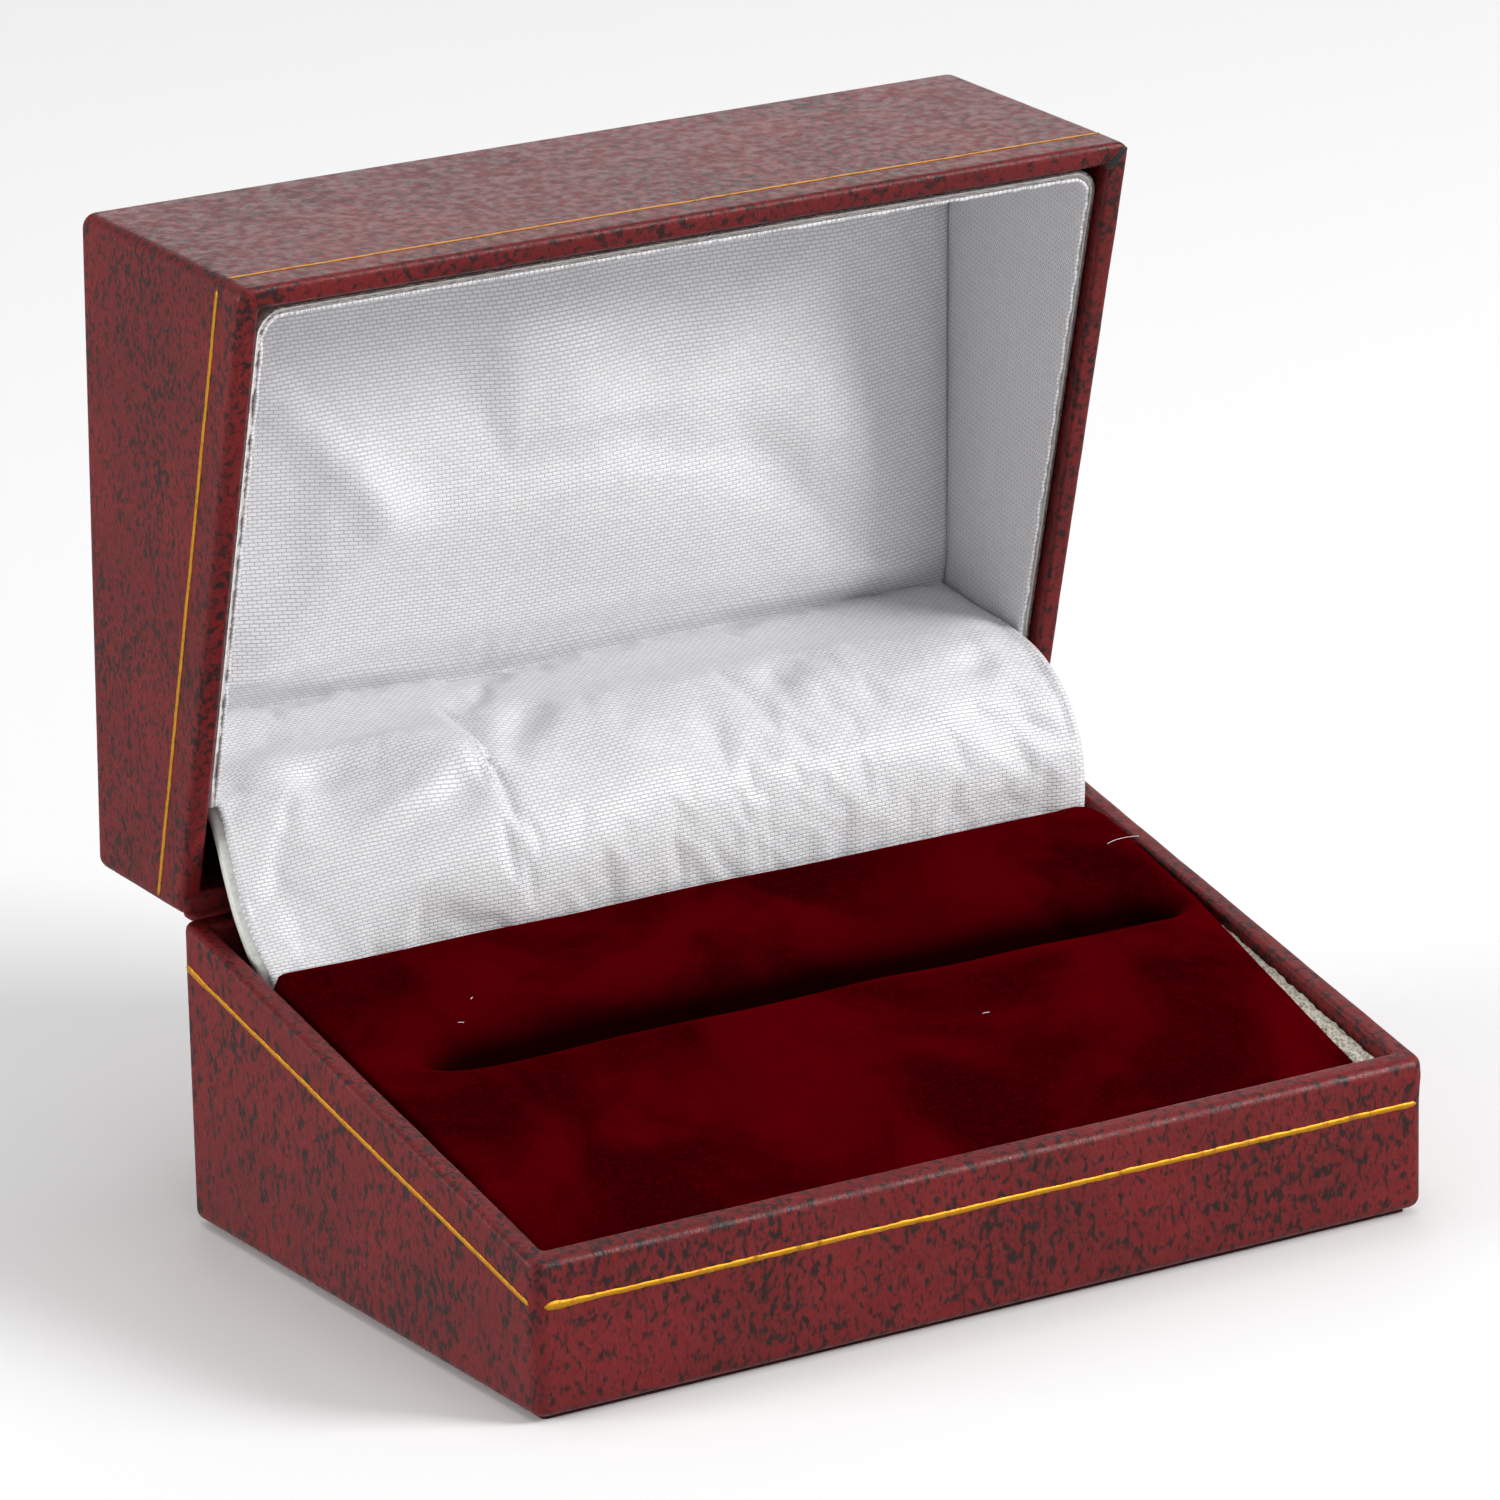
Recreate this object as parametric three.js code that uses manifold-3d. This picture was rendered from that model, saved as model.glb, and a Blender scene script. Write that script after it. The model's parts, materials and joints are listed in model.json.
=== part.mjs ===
// A hinged presentation box for two rings, shown standing open.
//
// Two wedge-shaped plastic cores, covered in leatherette paper, meet on a parting plane that slopes down
// to the front. A steel hinge joins them along the top of the back wall, and a bowed steel spring snaps
// between its leaves. The base holds a foam ring pad under velvet, and the lid a satin pad, a satin-faced
// card collar and a satin hinge cover that curves down behind the ring pad.
//
// Millimetres, +Z up, +X along the hinge, +Y to the back. The origin is the middle of the underside.
// Pieces of the lid are drawn as the box is closed, and the lid's group turns them open about the hinge.
import * as THREE from "three";
import { mergeVertices } from "three/addons/utils/BufferGeometryUtils.js";
import Module from "manifold-3d";

const wasm = await Module();
wasm.setup();

// Outside of the box.
const width = 86;
const depth = 57.4;
const closedHeight = 41.7;
const frontHeight = 13.7; // of the base, at the front of the parting plane
const backHeight = 26.9; // of the base, at the hinge
const openAngle = 88; // degrees from closed to open
const cornerRadius = 1; // of the upright corners
const innerCornerRadius = 0.4;

// Materials' thicknesses and the clearances between pieces.
const paper = 0.35; // leatherette covering paper
const core = 1.1; // walls of the moulded cores
const coreFloor = 1.2; // floors of the moulded cores
const glue = 0.1; // between pieces that are glued or laid together
const clearance = 0.3; // between pieces that move or are dropped in
const rimGap = 0.3; // between the two rims when the box is closed
const turnIn = 7; // depth of covering paper inside the rim
const turnUnder = 8; // width of covering paper under the base
const footInset = 1.2; // of the underside sheet from the outer faces

// Ring pad.
const padFrontDrop = 1.5; // of its front edge below the parting plane
const padBackRise = 0.3; // of its back edge above the parting plane
const velvet = 0.4;
const velvetApron = 4; // depth of velvet down the pad's front and back
const riserFront = 2.1; // height of the folded riser under the pad's front
const riserCard = 0.8;
const slotWidth = 3.2; // cut in the foam, before the velvet lines it
const slotLength = 73;
const slotForward = 27.7; // from the hinge line to the middle of the slot
const slotFloor = 1.3; // foam left under the slot

// Hinge and its spring, measured from the hinge line.
const steel = 0.45;
const pinRadius = 0.35;
const pinPlay = 0.1;
const barrelLength = 48;
const knuckleCount = 5;
const leafTail = 1.1; // of a leaf past the ledge that holds the spring
const rivetSpan = 38;
const rivetDrop = 4;
const rivetRadius = 0.6;
const rivetHeadRadius = 1.3;
const rivetHead = 0.45;
const rivetBite = 0.7; // into the core
const springSteel = 0.3;
const springWidth = 22;
const springSeat = 7.5; // from the hinge line along the wall to each end of the spring
const springPlay = 1; // between a leaf's face and the end of the spring
const springClear = 1; // between the bow and the bend of each leaf, with the lid open
const ledgeReach = 2.2; // of the ledges that hold the spring's ends

// Satin furniture of the lid.
const collarCard = 1;
const collarRecess = 1.25; // of the collar's edge behind the rim
const collarRadius = 2.5;
const collarFromHinge = 9.5; // where the collar's two arms end
const padBoard = 0.8;
const wadding = 2;
const satin = 0.3;

// Hinge cover, an arc about the hinge line that runs on straight into the lid.
const coverCardRadius = 9.6; // inner face of its card
const coverCard = 0.4;
const coverWadding = 0.6;
const coverStart = 98; // degrees from the back, where the arc takes over from the straight part
const coverEnd = 205; // degrees, behind the ring pad
const coverReach = 12; // length of the straight part

const arcSegments = 6; // in a rounded corner
const curveSegments = 24; // in a long curve
const beyond = 2; // how far a cutter runs past what it cuts

const slope = Math.atan2(backHeight - frontHeight, depth);
const hinge = new THREE.Vector3(0, depth / 2, backHeight);
const seat = paper + glue; // from a wrapped face to the core behind it
const wall = 2 * seat + core;
const footSheet = seat; // the underside sheet and its glue lift the rest of the base this far
const baseFloorTop = footSheet + seat + coreFloor;
const lidCeiling = closedHeight - seat - coreFloor;
const knuckleRadius = pinRadius + pinPlay + steel;
const knucklePitch = barrelLength / knuckleCount;
const leafInner = wall + glue + steel; // of a leaf's inner face in front of the hinge line
const leafBend = knuckleRadius - steel; // of a leaf's bend from the hinge line along the wall
const ledgePlace = springSeat + springSteel / 2 + clearance;
const leafLength = ledgePlace + steel + leafTail;
const springStand = leafInner + springPlay + springSteel / 2; // of its ends in front of the hinge line
const leafFace = depth / 2 - wall - glue; // y of a hinge leaf's face against the wall
const coverRadius = coverCardRadius + coverCard + coverWadding + satin + 2 * glue; // its outer face

const leatherette = new THREE.MeshStandardMaterial({ color: "#5f2426", roughness: 0.6, metalness: 0 });
const blackPlastic = new THREE.MeshStandardMaterial({ color: "#24262a", roughness: 0.45, metalness: 0 });
const blackPaper = new THREE.MeshStandardMaterial({ color: "#2b2a2c", roughness: 0.9, metalness: 0 });
const redVelvet = new THREE.MeshStandardMaterial({ color: "#5a0008", roughness: 0.95, metalness: 0 });
const creamFoam = new THREE.MeshStandardMaterial({ color: "#c8c2b0", roughness: 0.95, metalness: 0 });
const greyCard = new THREE.MeshStandardMaterial({ color: "#a39a8a", roughness: 0.9, metalness: 0 });
const whiteSatin = new THREE.MeshStandardMaterial({ color: "#e6e6ea", roughness: 0.4, metalness: 0 });
const whiteWadding = new THREE.MeshStandardMaterial({ color: "#efeeea", roughness: 1, metalness: 0 });
const brightSteel = new THREE.MeshStandardMaterial({ color: "#b9bcc0", roughness: 0.3, metalness: 1 });

// A closed geometry as a solid that can be joined and cut.
function solidOf(geometry) {
  const bare = geometry.clone();
  bare.deleteAttribute("normal");
  bare.deleteAttribute("uv");
  const merged = mergeVertices(bare);
  return new wasm.Manifold(
    new wasm.Mesh({
      numProp: 3,
      vertProperties: merged.attributes.position.array,
      triVerts: new Uint32Array(merged.index.array),
    }),
  );
}

// The mesh of a solid, named for its piece.
function piece(name, solid, material) {
  const { vertProperties, triVerts } = solid.getMesh();
  const geometry = new THREE.BufferGeometry();
  geometry.setAttribute("position", new THREE.BufferAttribute(vertProperties, 3));
  geometry.setIndex(new THREE.BufferAttribute(triVerts, 1));
  geometry.computeVertexNormals();
  const mesh = new THREE.Mesh(geometry, material);
  mesh.name = name;
  return mesh;
}

// An outline in plan, raised from one height to another.
function upright(outline, bottom, top) {
  const geometry = new THREE.ExtrudeGeometry(outline, {
    depth: top - bottom,
    bevelEnabled: false,
    curveSegments: arcSegments,
  });
  return solidOf(geometry.translate(0, 0, bottom));
}

// A side view drawn in Y and Z, run along X between two places.
function lengthwise(outline, left, right) {
  const geometry = new THREE.ExtrudeGeometry(outline, {
    depth: right - left,
    bevelEnabled: false,
    curveSegments,
  });
  geometry.translate(0, 0, left);
  const sideView = new THREE.Matrix4().makeBasis(
    new THREE.Vector3(0, 1, 0),
    new THREE.Vector3(0, 0, 1),
    new THREE.Vector3(1, 0, 0),
  );
  return solidOf(geometry.applyMatrix4(sideView));
}

// A polygon through points given as [first, second] pairs.
function polygon(points) {
  return new THREE.Shape(points.map(([first, second]) => new THREE.Vector2(first, second)));
}

// A rectangle between two opposite corners.
function rectangle(left, bottom, right, top) {
  return polygon([
    [left, bottom],
    [right, bottom],
    [right, top],
    [left, top],
  ]);
}

// A rectangle with round corners.
function roundedRectangle(left, bottom, right, top, radius) {
  const outline = new THREE.Shape();
  outline.moveTo(left + radius, bottom);
  outline.absarc(right - radius, bottom + radius, radius, -Math.PI / 2, 0);
  outline.absarc(right - radius, top - radius, radius, 0, Math.PI / 2);
  outline.absarc(left + radius, top - radius, radius, Math.PI / 2, Math.PI);
  outline.absarc(left + radius, bottom + radius, radius, Math.PI, 1.5 * Math.PI);
  return outline;
}

// The box in plan, a distance in from its outer faces.
function plan(inset, radius = Math.max(cornerRadius - inset, innerCornerRadius)) {
  const x = width / 2 - inset;
  const y = depth / 2 - inset;
  return roundedRectangle(-x, -y, x, y, radius);
}

// Height of the parting plane at a place from front to back.
function partingHeight(y) {
  return backHeight + (y - depth / 2) * Math.tan(slope);
}

// Everything on one half's side of the parting plane, a distance back from that plane.
function sideOfParting(half, back) {
  const away = half === "base" ? -1 : 1;
  const shift = (away * back) / Math.cos(slope);
  const far = away * closedHeight * 2;
  const reach = depth;
  const corners = [
    [-reach, partingHeight(-reach) + shift],
    [reach, partingHeight(reach) + shift],
    [reach, far],
    [-reach, far],
  ];
  return lengthwise(polygon(half === "base" ? corners.reverse() : corners), -width, width);
}

// One half of the box as a solid block: in from its sides, in from its underside or top, and back from
// the parting plane.
function block(half, inset, end, back) {
  return upright(plan(inset), end, closedHeight - end).intersect(sideOfParting(half, back));
}

// A room from the hinge line's wall to outside, in both halves, for the hinge barrel.
const barrelRoom = lengthwise(
  rectangle(
    depth / 2 - wall - beyond,
    backHeight - knuckleRadius - clearance,
    depth / 2 + beyond,
    backHeight + knuckleRadius + clearance,
  ),
  -barrelLength / 2 - clearance,
  barrelLength / 2 + clearance,
);

const rivetPlaces = { left: -rivetSpan / 2, right: rivetSpan / 2 };

// Height of one half's rivets, below the hinge line in the base and above it in the lid.
function rivetHeight(half) {
  return half === "base" ? backHeight - rivetDrop : backHeight + rivetDrop;
}

// A round bar along Y from one place to another.
function barAcrossWall(radius, x, z, from, to) {
  const bar = new THREE.CylinderGeometry(radius, radius, to - from, curveSegments);
  return solidOf(bar.translate(x, (from + to) / 2, z));
}

// The holes for one half's two rivets, through its leaf and its turned-in paper and into its core.
function rivetHoles(half) {
  const end = depth / 2 - seat - core + rivetBite + glue;
  const [left, right] = Object.values(rivetPlaces).map((x) =>
    barAcrossWall(rivetRadius + glue, x, rivetHeight(half), leafFace - steel - beyond, end),
  );
  return left.add(right);
}

// Moulded tray of one half.
function shell(half) {
  const end = half === "base" ? footSheet + seat : seat;
  return block(half, seat, end, rimGap / 2 + seat)
    .subtract(block(half, seat + core, end + coreFloor, -beyond))
    .subtract(barrelRoom)
    .subtract(rivetHoles(half));
}

// Covering paper of one half: outside skin, over the rim, and turned in.
function wrap(half) {
  const end = half === "base" ? footSheet : 0;
  const outside = block(half, 0, end, rimGap / 2);
  const roomForWall = block(half, paper, end + paper, rimGap / 2 + paper);
  const turnedIn = block(half, wall - paper, end + paper, -beyond);
  const cavity = block(half, wall, end + paper, -beyond);
  const belowTurnIn = block(half, paper, end + paper, rimGap / 2 + turnIn);
  const covering = outside
    .subtract(roomForWall.subtract(turnedIn))
    .subtract(cavity)
    .subtract(belowTurnIn)
    .subtract(barrelRoom)
    .subtract(rivetHoles(half));
  if (half === "lid") return covering;
  return covering.subtract(upright(plan(turnUnder), -beyond, end + paper + glue));
}

// Sheet pasted under the base, which the box stands on.
function underside() {
  return upright(plan(footInset), 0, paper);
}

// Ring pad. Its top runs from its front edge to its back edge on a line of its own.
const padHalf = width / 2 - wall - clearance;
const padFront = -depth / 2 + wall + clearance;
const padBack = depth / 2 - coverRadius - clearance;
const padFrontTop = partingHeight(padFront) - padFrontDrop;
const padBackTop = partingHeight(padBack) + padBackRise;
const slotMiddle = depth / 2 - slotForward;
const padThickness = padFrontTop - baseFloorTop - glue - riserFront;
const foamInset = velvet + glue; // of the foam behind the velvet's outer face

// Height of the velvet's top at a place from front to back.
function padTop(y) {
  return padFrontTop + ((y - padFront) / (padBack - padFront)) * (padBackTop - padFrontTop);
}

// A slice of the ring pad between two depths under its top, a distance in from its front and back.
function padSlice(inset, upper, lower, half) {
  const front = padFront + inset;
  const back = padBack - inset;
  const corners = [
    [front, padTop(front) - lower],
    [back, padTop(back) - lower],
    [back, padTop(back) - upper],
    [front, padTop(front) - upper],
  ];
  return lengthwise(polygon(corners), -half, half);
}

// The slot's room, a distance in from the walls and floor that are cut in the foam.
function slotRoom(inset) {
  const halfLength = slotLength / 2 - inset;
  const halfWidth = slotWidth / 2 - inset;
  const bottom = padTop(slotMiddle) - padThickness + slotFloor + inset;
  const top = padTop(slotMiddle) + beyond;
  return lengthwise(
    rectangle(slotMiddle - halfWidth, bottom, slotMiddle + halfWidth, top),
    -halfLength,
    halfLength,
  );
}

function ringPadFoam() {
  return padSlice(foamInset, foamInset, padThickness, padHalf).subtract(slotRoom(0));
}

function ringPadVelvet() {
  const cover = padSlice(0, 0, velvetApron, padHalf).subtract(
    padSlice(velvet, velvet, velvetApron + beyond, padHalf + beyond),
  );
  const lining = slotRoom(glue).intersect(padSlice(0, 0, padThickness, padHalf));
  return cover.add(lining).subtract(slotRoom(foamInset));
}

// Folded card that carries the pad: a sloping top with a leg at its front and back.
function cushionRiser() {
  const front = padFront + foamInset;
  const back = padBack - foamInset;
  const foot = baseFloorTop + glue;
  const top = (y) => padTop(y) - padThickness - glue;
  const under = (y) => top(y) - riserCard;
  const corners = [
    [front, foot],
    [front + riserCard, foot],
    [front + riserCard, under(front + riserCard)],
    [back - riserCard, under(back - riserCard)],
    [back - riserCard, foot],
    [back, foot],
    [back, top(back)],
    [front, top(front)],
  ];
  return lengthwise(polygon(corners), -padHalf, padHalf);
}

// The places along the barrel of one half's knuckles, which take turns: the base has the first.
function knuckles(half) {
  const first = half === "base" ? 0 : 1;
  const starts = [];
  for (let index = first; index < knuckleCount; index += 2) {
    starts.push(-barrelLength / 2 + index * knucklePitch);
  }
  return starts.map((start) => [start + glue, start + knucklePitch - glue]);
}

// A rectangle in side view, from the hinge line: forward of it, and away from it into one half.
function sidePanel(half, nearer, further, low, high) {
  const away = half === "base" ? -1 : 1;
  const ends = [backHeight + away * low, backHeight + away * high];
  return rectangle(depth / 2 - further, Math.min(...ends), depth / 2 - nearer, Math.max(...ends));
}

// Steel leaf of one half: along the wall's inner face, over the rim to its knuckles, with a ledge that
// holds one end of the spring.
function hingeLeaf(half) {
  const end = barrelLength / 2;
  const ledgeEnd = springWidth / 2 + clearance;
  const plate = sidePanel(half, leafInner - steel, leafInner, leafBend, leafLength);
  const strip = sidePanel(half, knuckleRadius + clearance, leafInner, leafBend, knuckleRadius);
  const ledge = sidePanel(half, leafInner - steel, leafInner + ledgeReach, ledgePlace, ledgePlace + steel);
  const web = sidePanel(half, 0, leafInner, leafBend, knuckleRadius);
  let leaf = lengthwise(plate, -end, end)
    .add(lengthwise(strip, -end, end))
    .add(lengthwise(ledge, -ledgeEnd, ledgeEnd));
  for (const [from, to] of knuckles(half)) {
    leaf = leaf.add(lengthwise(web, from, to)).add(barAlongHinge(knuckleRadius, from, to));
  }
  return leaf.subtract(barAlongHinge(pinRadius + pinPlay, -width, width)).subtract(rivetHoles(half));
}

// A round bar on the hinge line.
function barAlongHinge(radius, from, to) {
  const bar = new THREE.CylinderGeometry(radius, radius, to - from, curveSegments);
  bar.rotateZ(Math.PI / 2);
  return solidOf(bar.translate((from + to) / 2, hinge.y, hinge.z));
}

// Short drive rivet: a head on the leaf and a shank into the core.
function rivet(half, x) {
  const z = rivetHeight(half);
  const under = leafFace - steel - glue;
  const tip = depth / 2 - seat - core + rivetBite;
  const head = barAcrossWall(rivetHeadRadius, x, z, under - rivetHead, under);
  return head.add(barAcrossWall(rivetRadius, x, z, under - rivetHead / 2, tip));
}

// How far the centre of the spring's bow lies behind the line between its ends. The bow is the arc through
// both ends that clears the bend of the base's leaf when the lid is open.
function bowCentre() {
  const half = THREE.MathUtils.degToRad(openAngle / 2);
  const forward = springStand - leafInner;
  const up = springSeat - leafBend;
  const fromMiddle = forward * Math.sin(half) + up * Math.cos(half) - springSeat;
  const bend = up * Math.sin(half) - forward * Math.cos(half);
  const bow = bend + springClear + springSteel / 2;
  return (springSeat ** 2 - fromMiddle ** 2 - bow ** 2) / (2 * bow);
}

// Bowed spring as it stands in the closed box, its ends on a line parallel to the back wall.
function snapSpring() {
  const behind = bowCentre();
  const radius = Math.hypot(springSeat, behind);
  const halfAngle = Math.asin(springSeat / radius);
  const centre = depth / 2 - springStand + behind;
  const outline = new THREE.Shape();
  const from = Math.PI - halfAngle;
  const to = Math.PI + halfAngle;
  outline.absarc(centre, backHeight, radius + springSteel / 2, from, to, false);
  outline.absarc(centre, backHeight, radius - springSteel / 2, to, from, true);
  return lengthwise(outline, -springWidth / 2, springWidth / 2);
}

// Lid collar: a card strip, satin on its inner face, along the front wall and both side walls.
const collarOuter = wall + clearance;
const collarInner = collarOuter + collarCard;
const betweenArms = width / 2 - collarInner - clearance; // half-width of what fits inside the collar

function lidCollar() {
  const top = closedHeight - lidCeiling + glue;
  const ring = upright(plan(collarOuter, collarRadius), 0, closedHeight - top).subtract(
    upright(plan(collarInner, collarRadius - collarCard), -beyond, closedHeight),
  );
  const armsEnd = depth / 2 - collarFromHinge;
  const hingeSide = upright(rectangle(-width, armsEnd, width, depth), -beyond, closedHeight);
  return ring.intersect(sideOfParting("lid", collarRecess)).subtract(hingeSide);
}

// Where the straight part of the hinge cover ends, as the lid is closed.
function coverFold() {
  const start = THREE.MathUtils.degToRad(coverStart);
  const onArc = new THREE.Vector2(Math.cos(start), Math.sin(start)).multiplyScalar(coverRadius);
  const along = new THREE.Vector2(Math.sin(start), -Math.cos(start)).multiplyScalar(coverReach);
  const open = THREE.MathUtils.degToRad(openAngle);
  return onArc.add(along).rotateAround(new THREE.Vector2(), open);
}

// A flat layer of the lid's pad, between two depths under the core's ceiling.
function lidPadLayer(upper, lower) {
  const front = -depth / 2 + collarInner + clearance;
  const back = depth / 2 + coverFold().x - clearance;
  const outline = roundedRectangle(-betweenArms, front, betweenArms, back, collarRadius - collarCard);
  return upright(outline, lidCeiling - lower, lidCeiling - upper);
}

// A layer of the hinge cover between two radii about the hinge line, drawn from that line as the lid
// stands open.
function coverLayer(inner, outer) {
  const start = THREE.MathUtils.degToRad(coverStart);
  const end = THREE.MathUtils.degToRad(coverEnd);
  const along = [Math.sin(start) * coverReach, -Math.cos(start) * coverReach];
  const outline = new THREE.Shape();
  outline.moveTo(outer * Math.cos(start) + along[0], outer * Math.sin(start) + along[1]);
  outline.absarc(0, 0, outer, start, end, false);
  outline.absarc(0, 0, inner, end, start, true);
  outline.lineTo(inner * Math.cos(start) + along[0], inner * Math.sin(start) + along[1]);
  return lengthwise(outline, -betweenArms, betweenArms);
}

const box = new THREE.Group();
box.name = "ring_box";

// The base stands still.
box.add(piece("base_shell", shell("base"), blackPlastic));
box.add(piece("base_wrap", wrap("base"), leatherette));
box.add(piece("base_underside_sheet", underside(), blackPaper));
box.add(piece("ring_pad_riser", cushionRiser(), greyCard));
box.add(piece("ring_pad_foam", ringPadFoam(), creamFoam));
box.add(piece("ring_pad_velvet", ringPadVelvet(), redVelvet));
box.add(piece("base_hinge_leaf", hingeLeaf("base"), brightSteel));
box.add(piece("hinge_pin", barAlongHinge(pinRadius, -barrelLength / 2, barrelLength / 2), brightSteel));
for (const [side, x] of Object.entries(rivetPlaces)) {
  box.add(piece(`base_rivet_${side}`, rivet("base", x), brightSteel));
}

// A group that turns what is drawn in the closed box about a line along X.
function turned(place, degrees) {
  const turn = new THREE.Group();
  turn.position.copy(place);
  turn.rotation.x = -THREE.MathUtils.degToRad(degrees);
  const closed = new THREE.Group();
  closed.position.copy(place).negate();
  turn.add(closed);
  box.add(turn);
  return closed;
}

// The lid is turned open about the hinge line.
const lid = turned(hinge, openAngle);
lid.add(piece("lid_shell", shell("lid"), blackPlastic));
lid.add(piece("lid_wrap", wrap("lid"), leatherette));
lid.add(piece("lid_collar", lidCollar(), whiteSatin));
lid.add(piece("lid_pad_board", lidPadLayer(glue, glue + padBoard), greyCard));
const waddingTop = padBoard + 2 * glue;
lid.add(piece("lid_pad_wadding", lidPadLayer(waddingTop, waddingTop + wadding), whiteWadding));
const satinTop = waddingTop + wadding + glue;
lid.add(piece("lid_pad_satin", lidPadLayer(satinTop, satinTop + satin), whiteSatin));
lid.add(piece("lid_hinge_leaf", hingeLeaf("lid"), brightSteel));
for (const [side, x] of Object.entries(rivetPlaces)) {
  lid.add(piece(`lid_rivet_${side}`, rivet("lid", x), brightSteel));
}

// The spring turns half as far as the lid, about its end in the base.
const springFoot = new THREE.Vector3(0, depth / 2 - springStand, backHeight - springSeat);
turned(springFoot, openAngle / 2).add(piece("snap_spring", snapSpring(), brightSteel));

// The hinge cover is drawn about the hinge line, as it curves with the lid open.
const cover = new THREE.Group();
cover.position.copy(hinge);
const coverWaddingRadius = coverCardRadius + coverCard + glue;
const coverSatinRadius = coverWaddingRadius + coverWadding + glue;
cover.add(piece("hinge_cover_card", coverLayer(coverCardRadius, coverCardRadius + coverCard), greyCard));
cover.add(
  piece(
    "hinge_cover_wadding",
    coverLayer(coverWaddingRadius, coverWaddingRadius + coverWadding),
    whiteWadding,
  ),
);
cover.add(piece("hinge_cover_satin", coverLayer(coverSatinRadius, coverSatinRadius + satin), whiteSatin));
box.add(cover);

export default box;
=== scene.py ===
"""An open presentation box for two rings, in leatherette paper, velvet and satin."""

import json
import math

import bmesh
import bpy
from bpy.props import FloatProperty, FloatVectorProperty, PointerProperty
from mathutils import Matrix, Vector, noise


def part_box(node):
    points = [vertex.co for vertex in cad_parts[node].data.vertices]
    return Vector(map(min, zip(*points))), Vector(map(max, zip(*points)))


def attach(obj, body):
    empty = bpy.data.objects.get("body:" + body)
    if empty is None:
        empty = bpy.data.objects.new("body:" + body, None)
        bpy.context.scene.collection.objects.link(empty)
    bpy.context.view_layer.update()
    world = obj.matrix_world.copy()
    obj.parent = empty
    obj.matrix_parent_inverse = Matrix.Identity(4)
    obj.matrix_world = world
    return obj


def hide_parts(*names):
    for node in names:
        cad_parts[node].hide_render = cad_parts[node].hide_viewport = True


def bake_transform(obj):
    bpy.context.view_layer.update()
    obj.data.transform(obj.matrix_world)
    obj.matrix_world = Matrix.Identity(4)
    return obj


bl_info = {
    "name": "Two-Ring Box",
    "version": (1, 0, 0),
    "blender": (4, 5, 0),
    "location": "View3D > Sidebar > Ring Box",
    "description": "Finishes a hinged ring box in leatherette paper, velvet and satin",
    "category": "Object",
}

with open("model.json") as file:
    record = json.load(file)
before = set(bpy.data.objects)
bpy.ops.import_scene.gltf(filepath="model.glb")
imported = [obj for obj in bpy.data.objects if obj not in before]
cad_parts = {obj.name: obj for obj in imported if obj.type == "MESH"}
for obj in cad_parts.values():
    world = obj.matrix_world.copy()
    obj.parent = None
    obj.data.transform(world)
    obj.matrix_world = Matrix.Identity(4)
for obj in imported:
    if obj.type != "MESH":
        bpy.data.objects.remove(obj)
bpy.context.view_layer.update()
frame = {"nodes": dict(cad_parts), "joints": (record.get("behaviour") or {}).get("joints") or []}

MM = 0.001


# Everything below is measured on the frame, in metres. The box is described closed, and the pieces of
# the lid are turned open about the hinge once they are made.
LID_JOINT = next(joint for joint in frame["joints"] if joint["name"] == "lid_hinge")
HINGE = Vector(LID_JOINT["pos_m"])
OPEN = math.radians(LID_JOINT["range_deg"][1])
BASE_LOW, BASE_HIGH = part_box("base_wrap")
LID_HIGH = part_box("lid_wrap")[1]
PAD_LOW, PAD_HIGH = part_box("ring_pad_velvet")
COLLAR_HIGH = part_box("lid_collar")[1]
BOARD_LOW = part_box("lid_pad_board")[0]
COVER_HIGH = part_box("hinge_cover_satin")[1]
HALF_WIDTH = BASE_HIGH.x
FRONT, BACK = BASE_LOW.y, BASE_HIGH.y
FRONT_RIM = max(v.co.z for v in frame["nodes"]["base_wrap"].data.vertices if v.co.y < FRONT + 0.1 * MM)
SLOPE = math.atan2(BASE_HIGH.z - FRONT_RIM, BACK - FRONT)
RIM_DROP = HINGE.z - BASE_HIGH.z  # of each rim behind the parting plane, straight up or down
CLOSED_HEIGHT = HINGE.z + (LID_HIGH.y - HINGE.y) / math.sin(OPEN)
CUT = Vector((0, -math.sin(SLOPE), math.cos(SLOPE)))  # out of the base, square to the parting plane


def linear(colour):
    """An sRGB hex colour as linear red, green, blue and alpha."""
    channels = [int(colour[i : i + 2], 16) / 255 for i in (1, 3, 5)]
    return tuple(c / 12.92 if c <= 0.04045 else ((c + 0.055) / 1.055) ** 2.4 for c in channels) + (1.0,)


def size_setting(name, description, millimetres):
    return FloatProperty(name=name, description=description, default=millimetres * MM, unit="LENGTH")


def colour_setting(name, description, colour):
    return FloatVectorProperty(
        name=name, description=description, default=linear(colour), size=4, subtype="COLOR", min=0, max=1
    )


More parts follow.
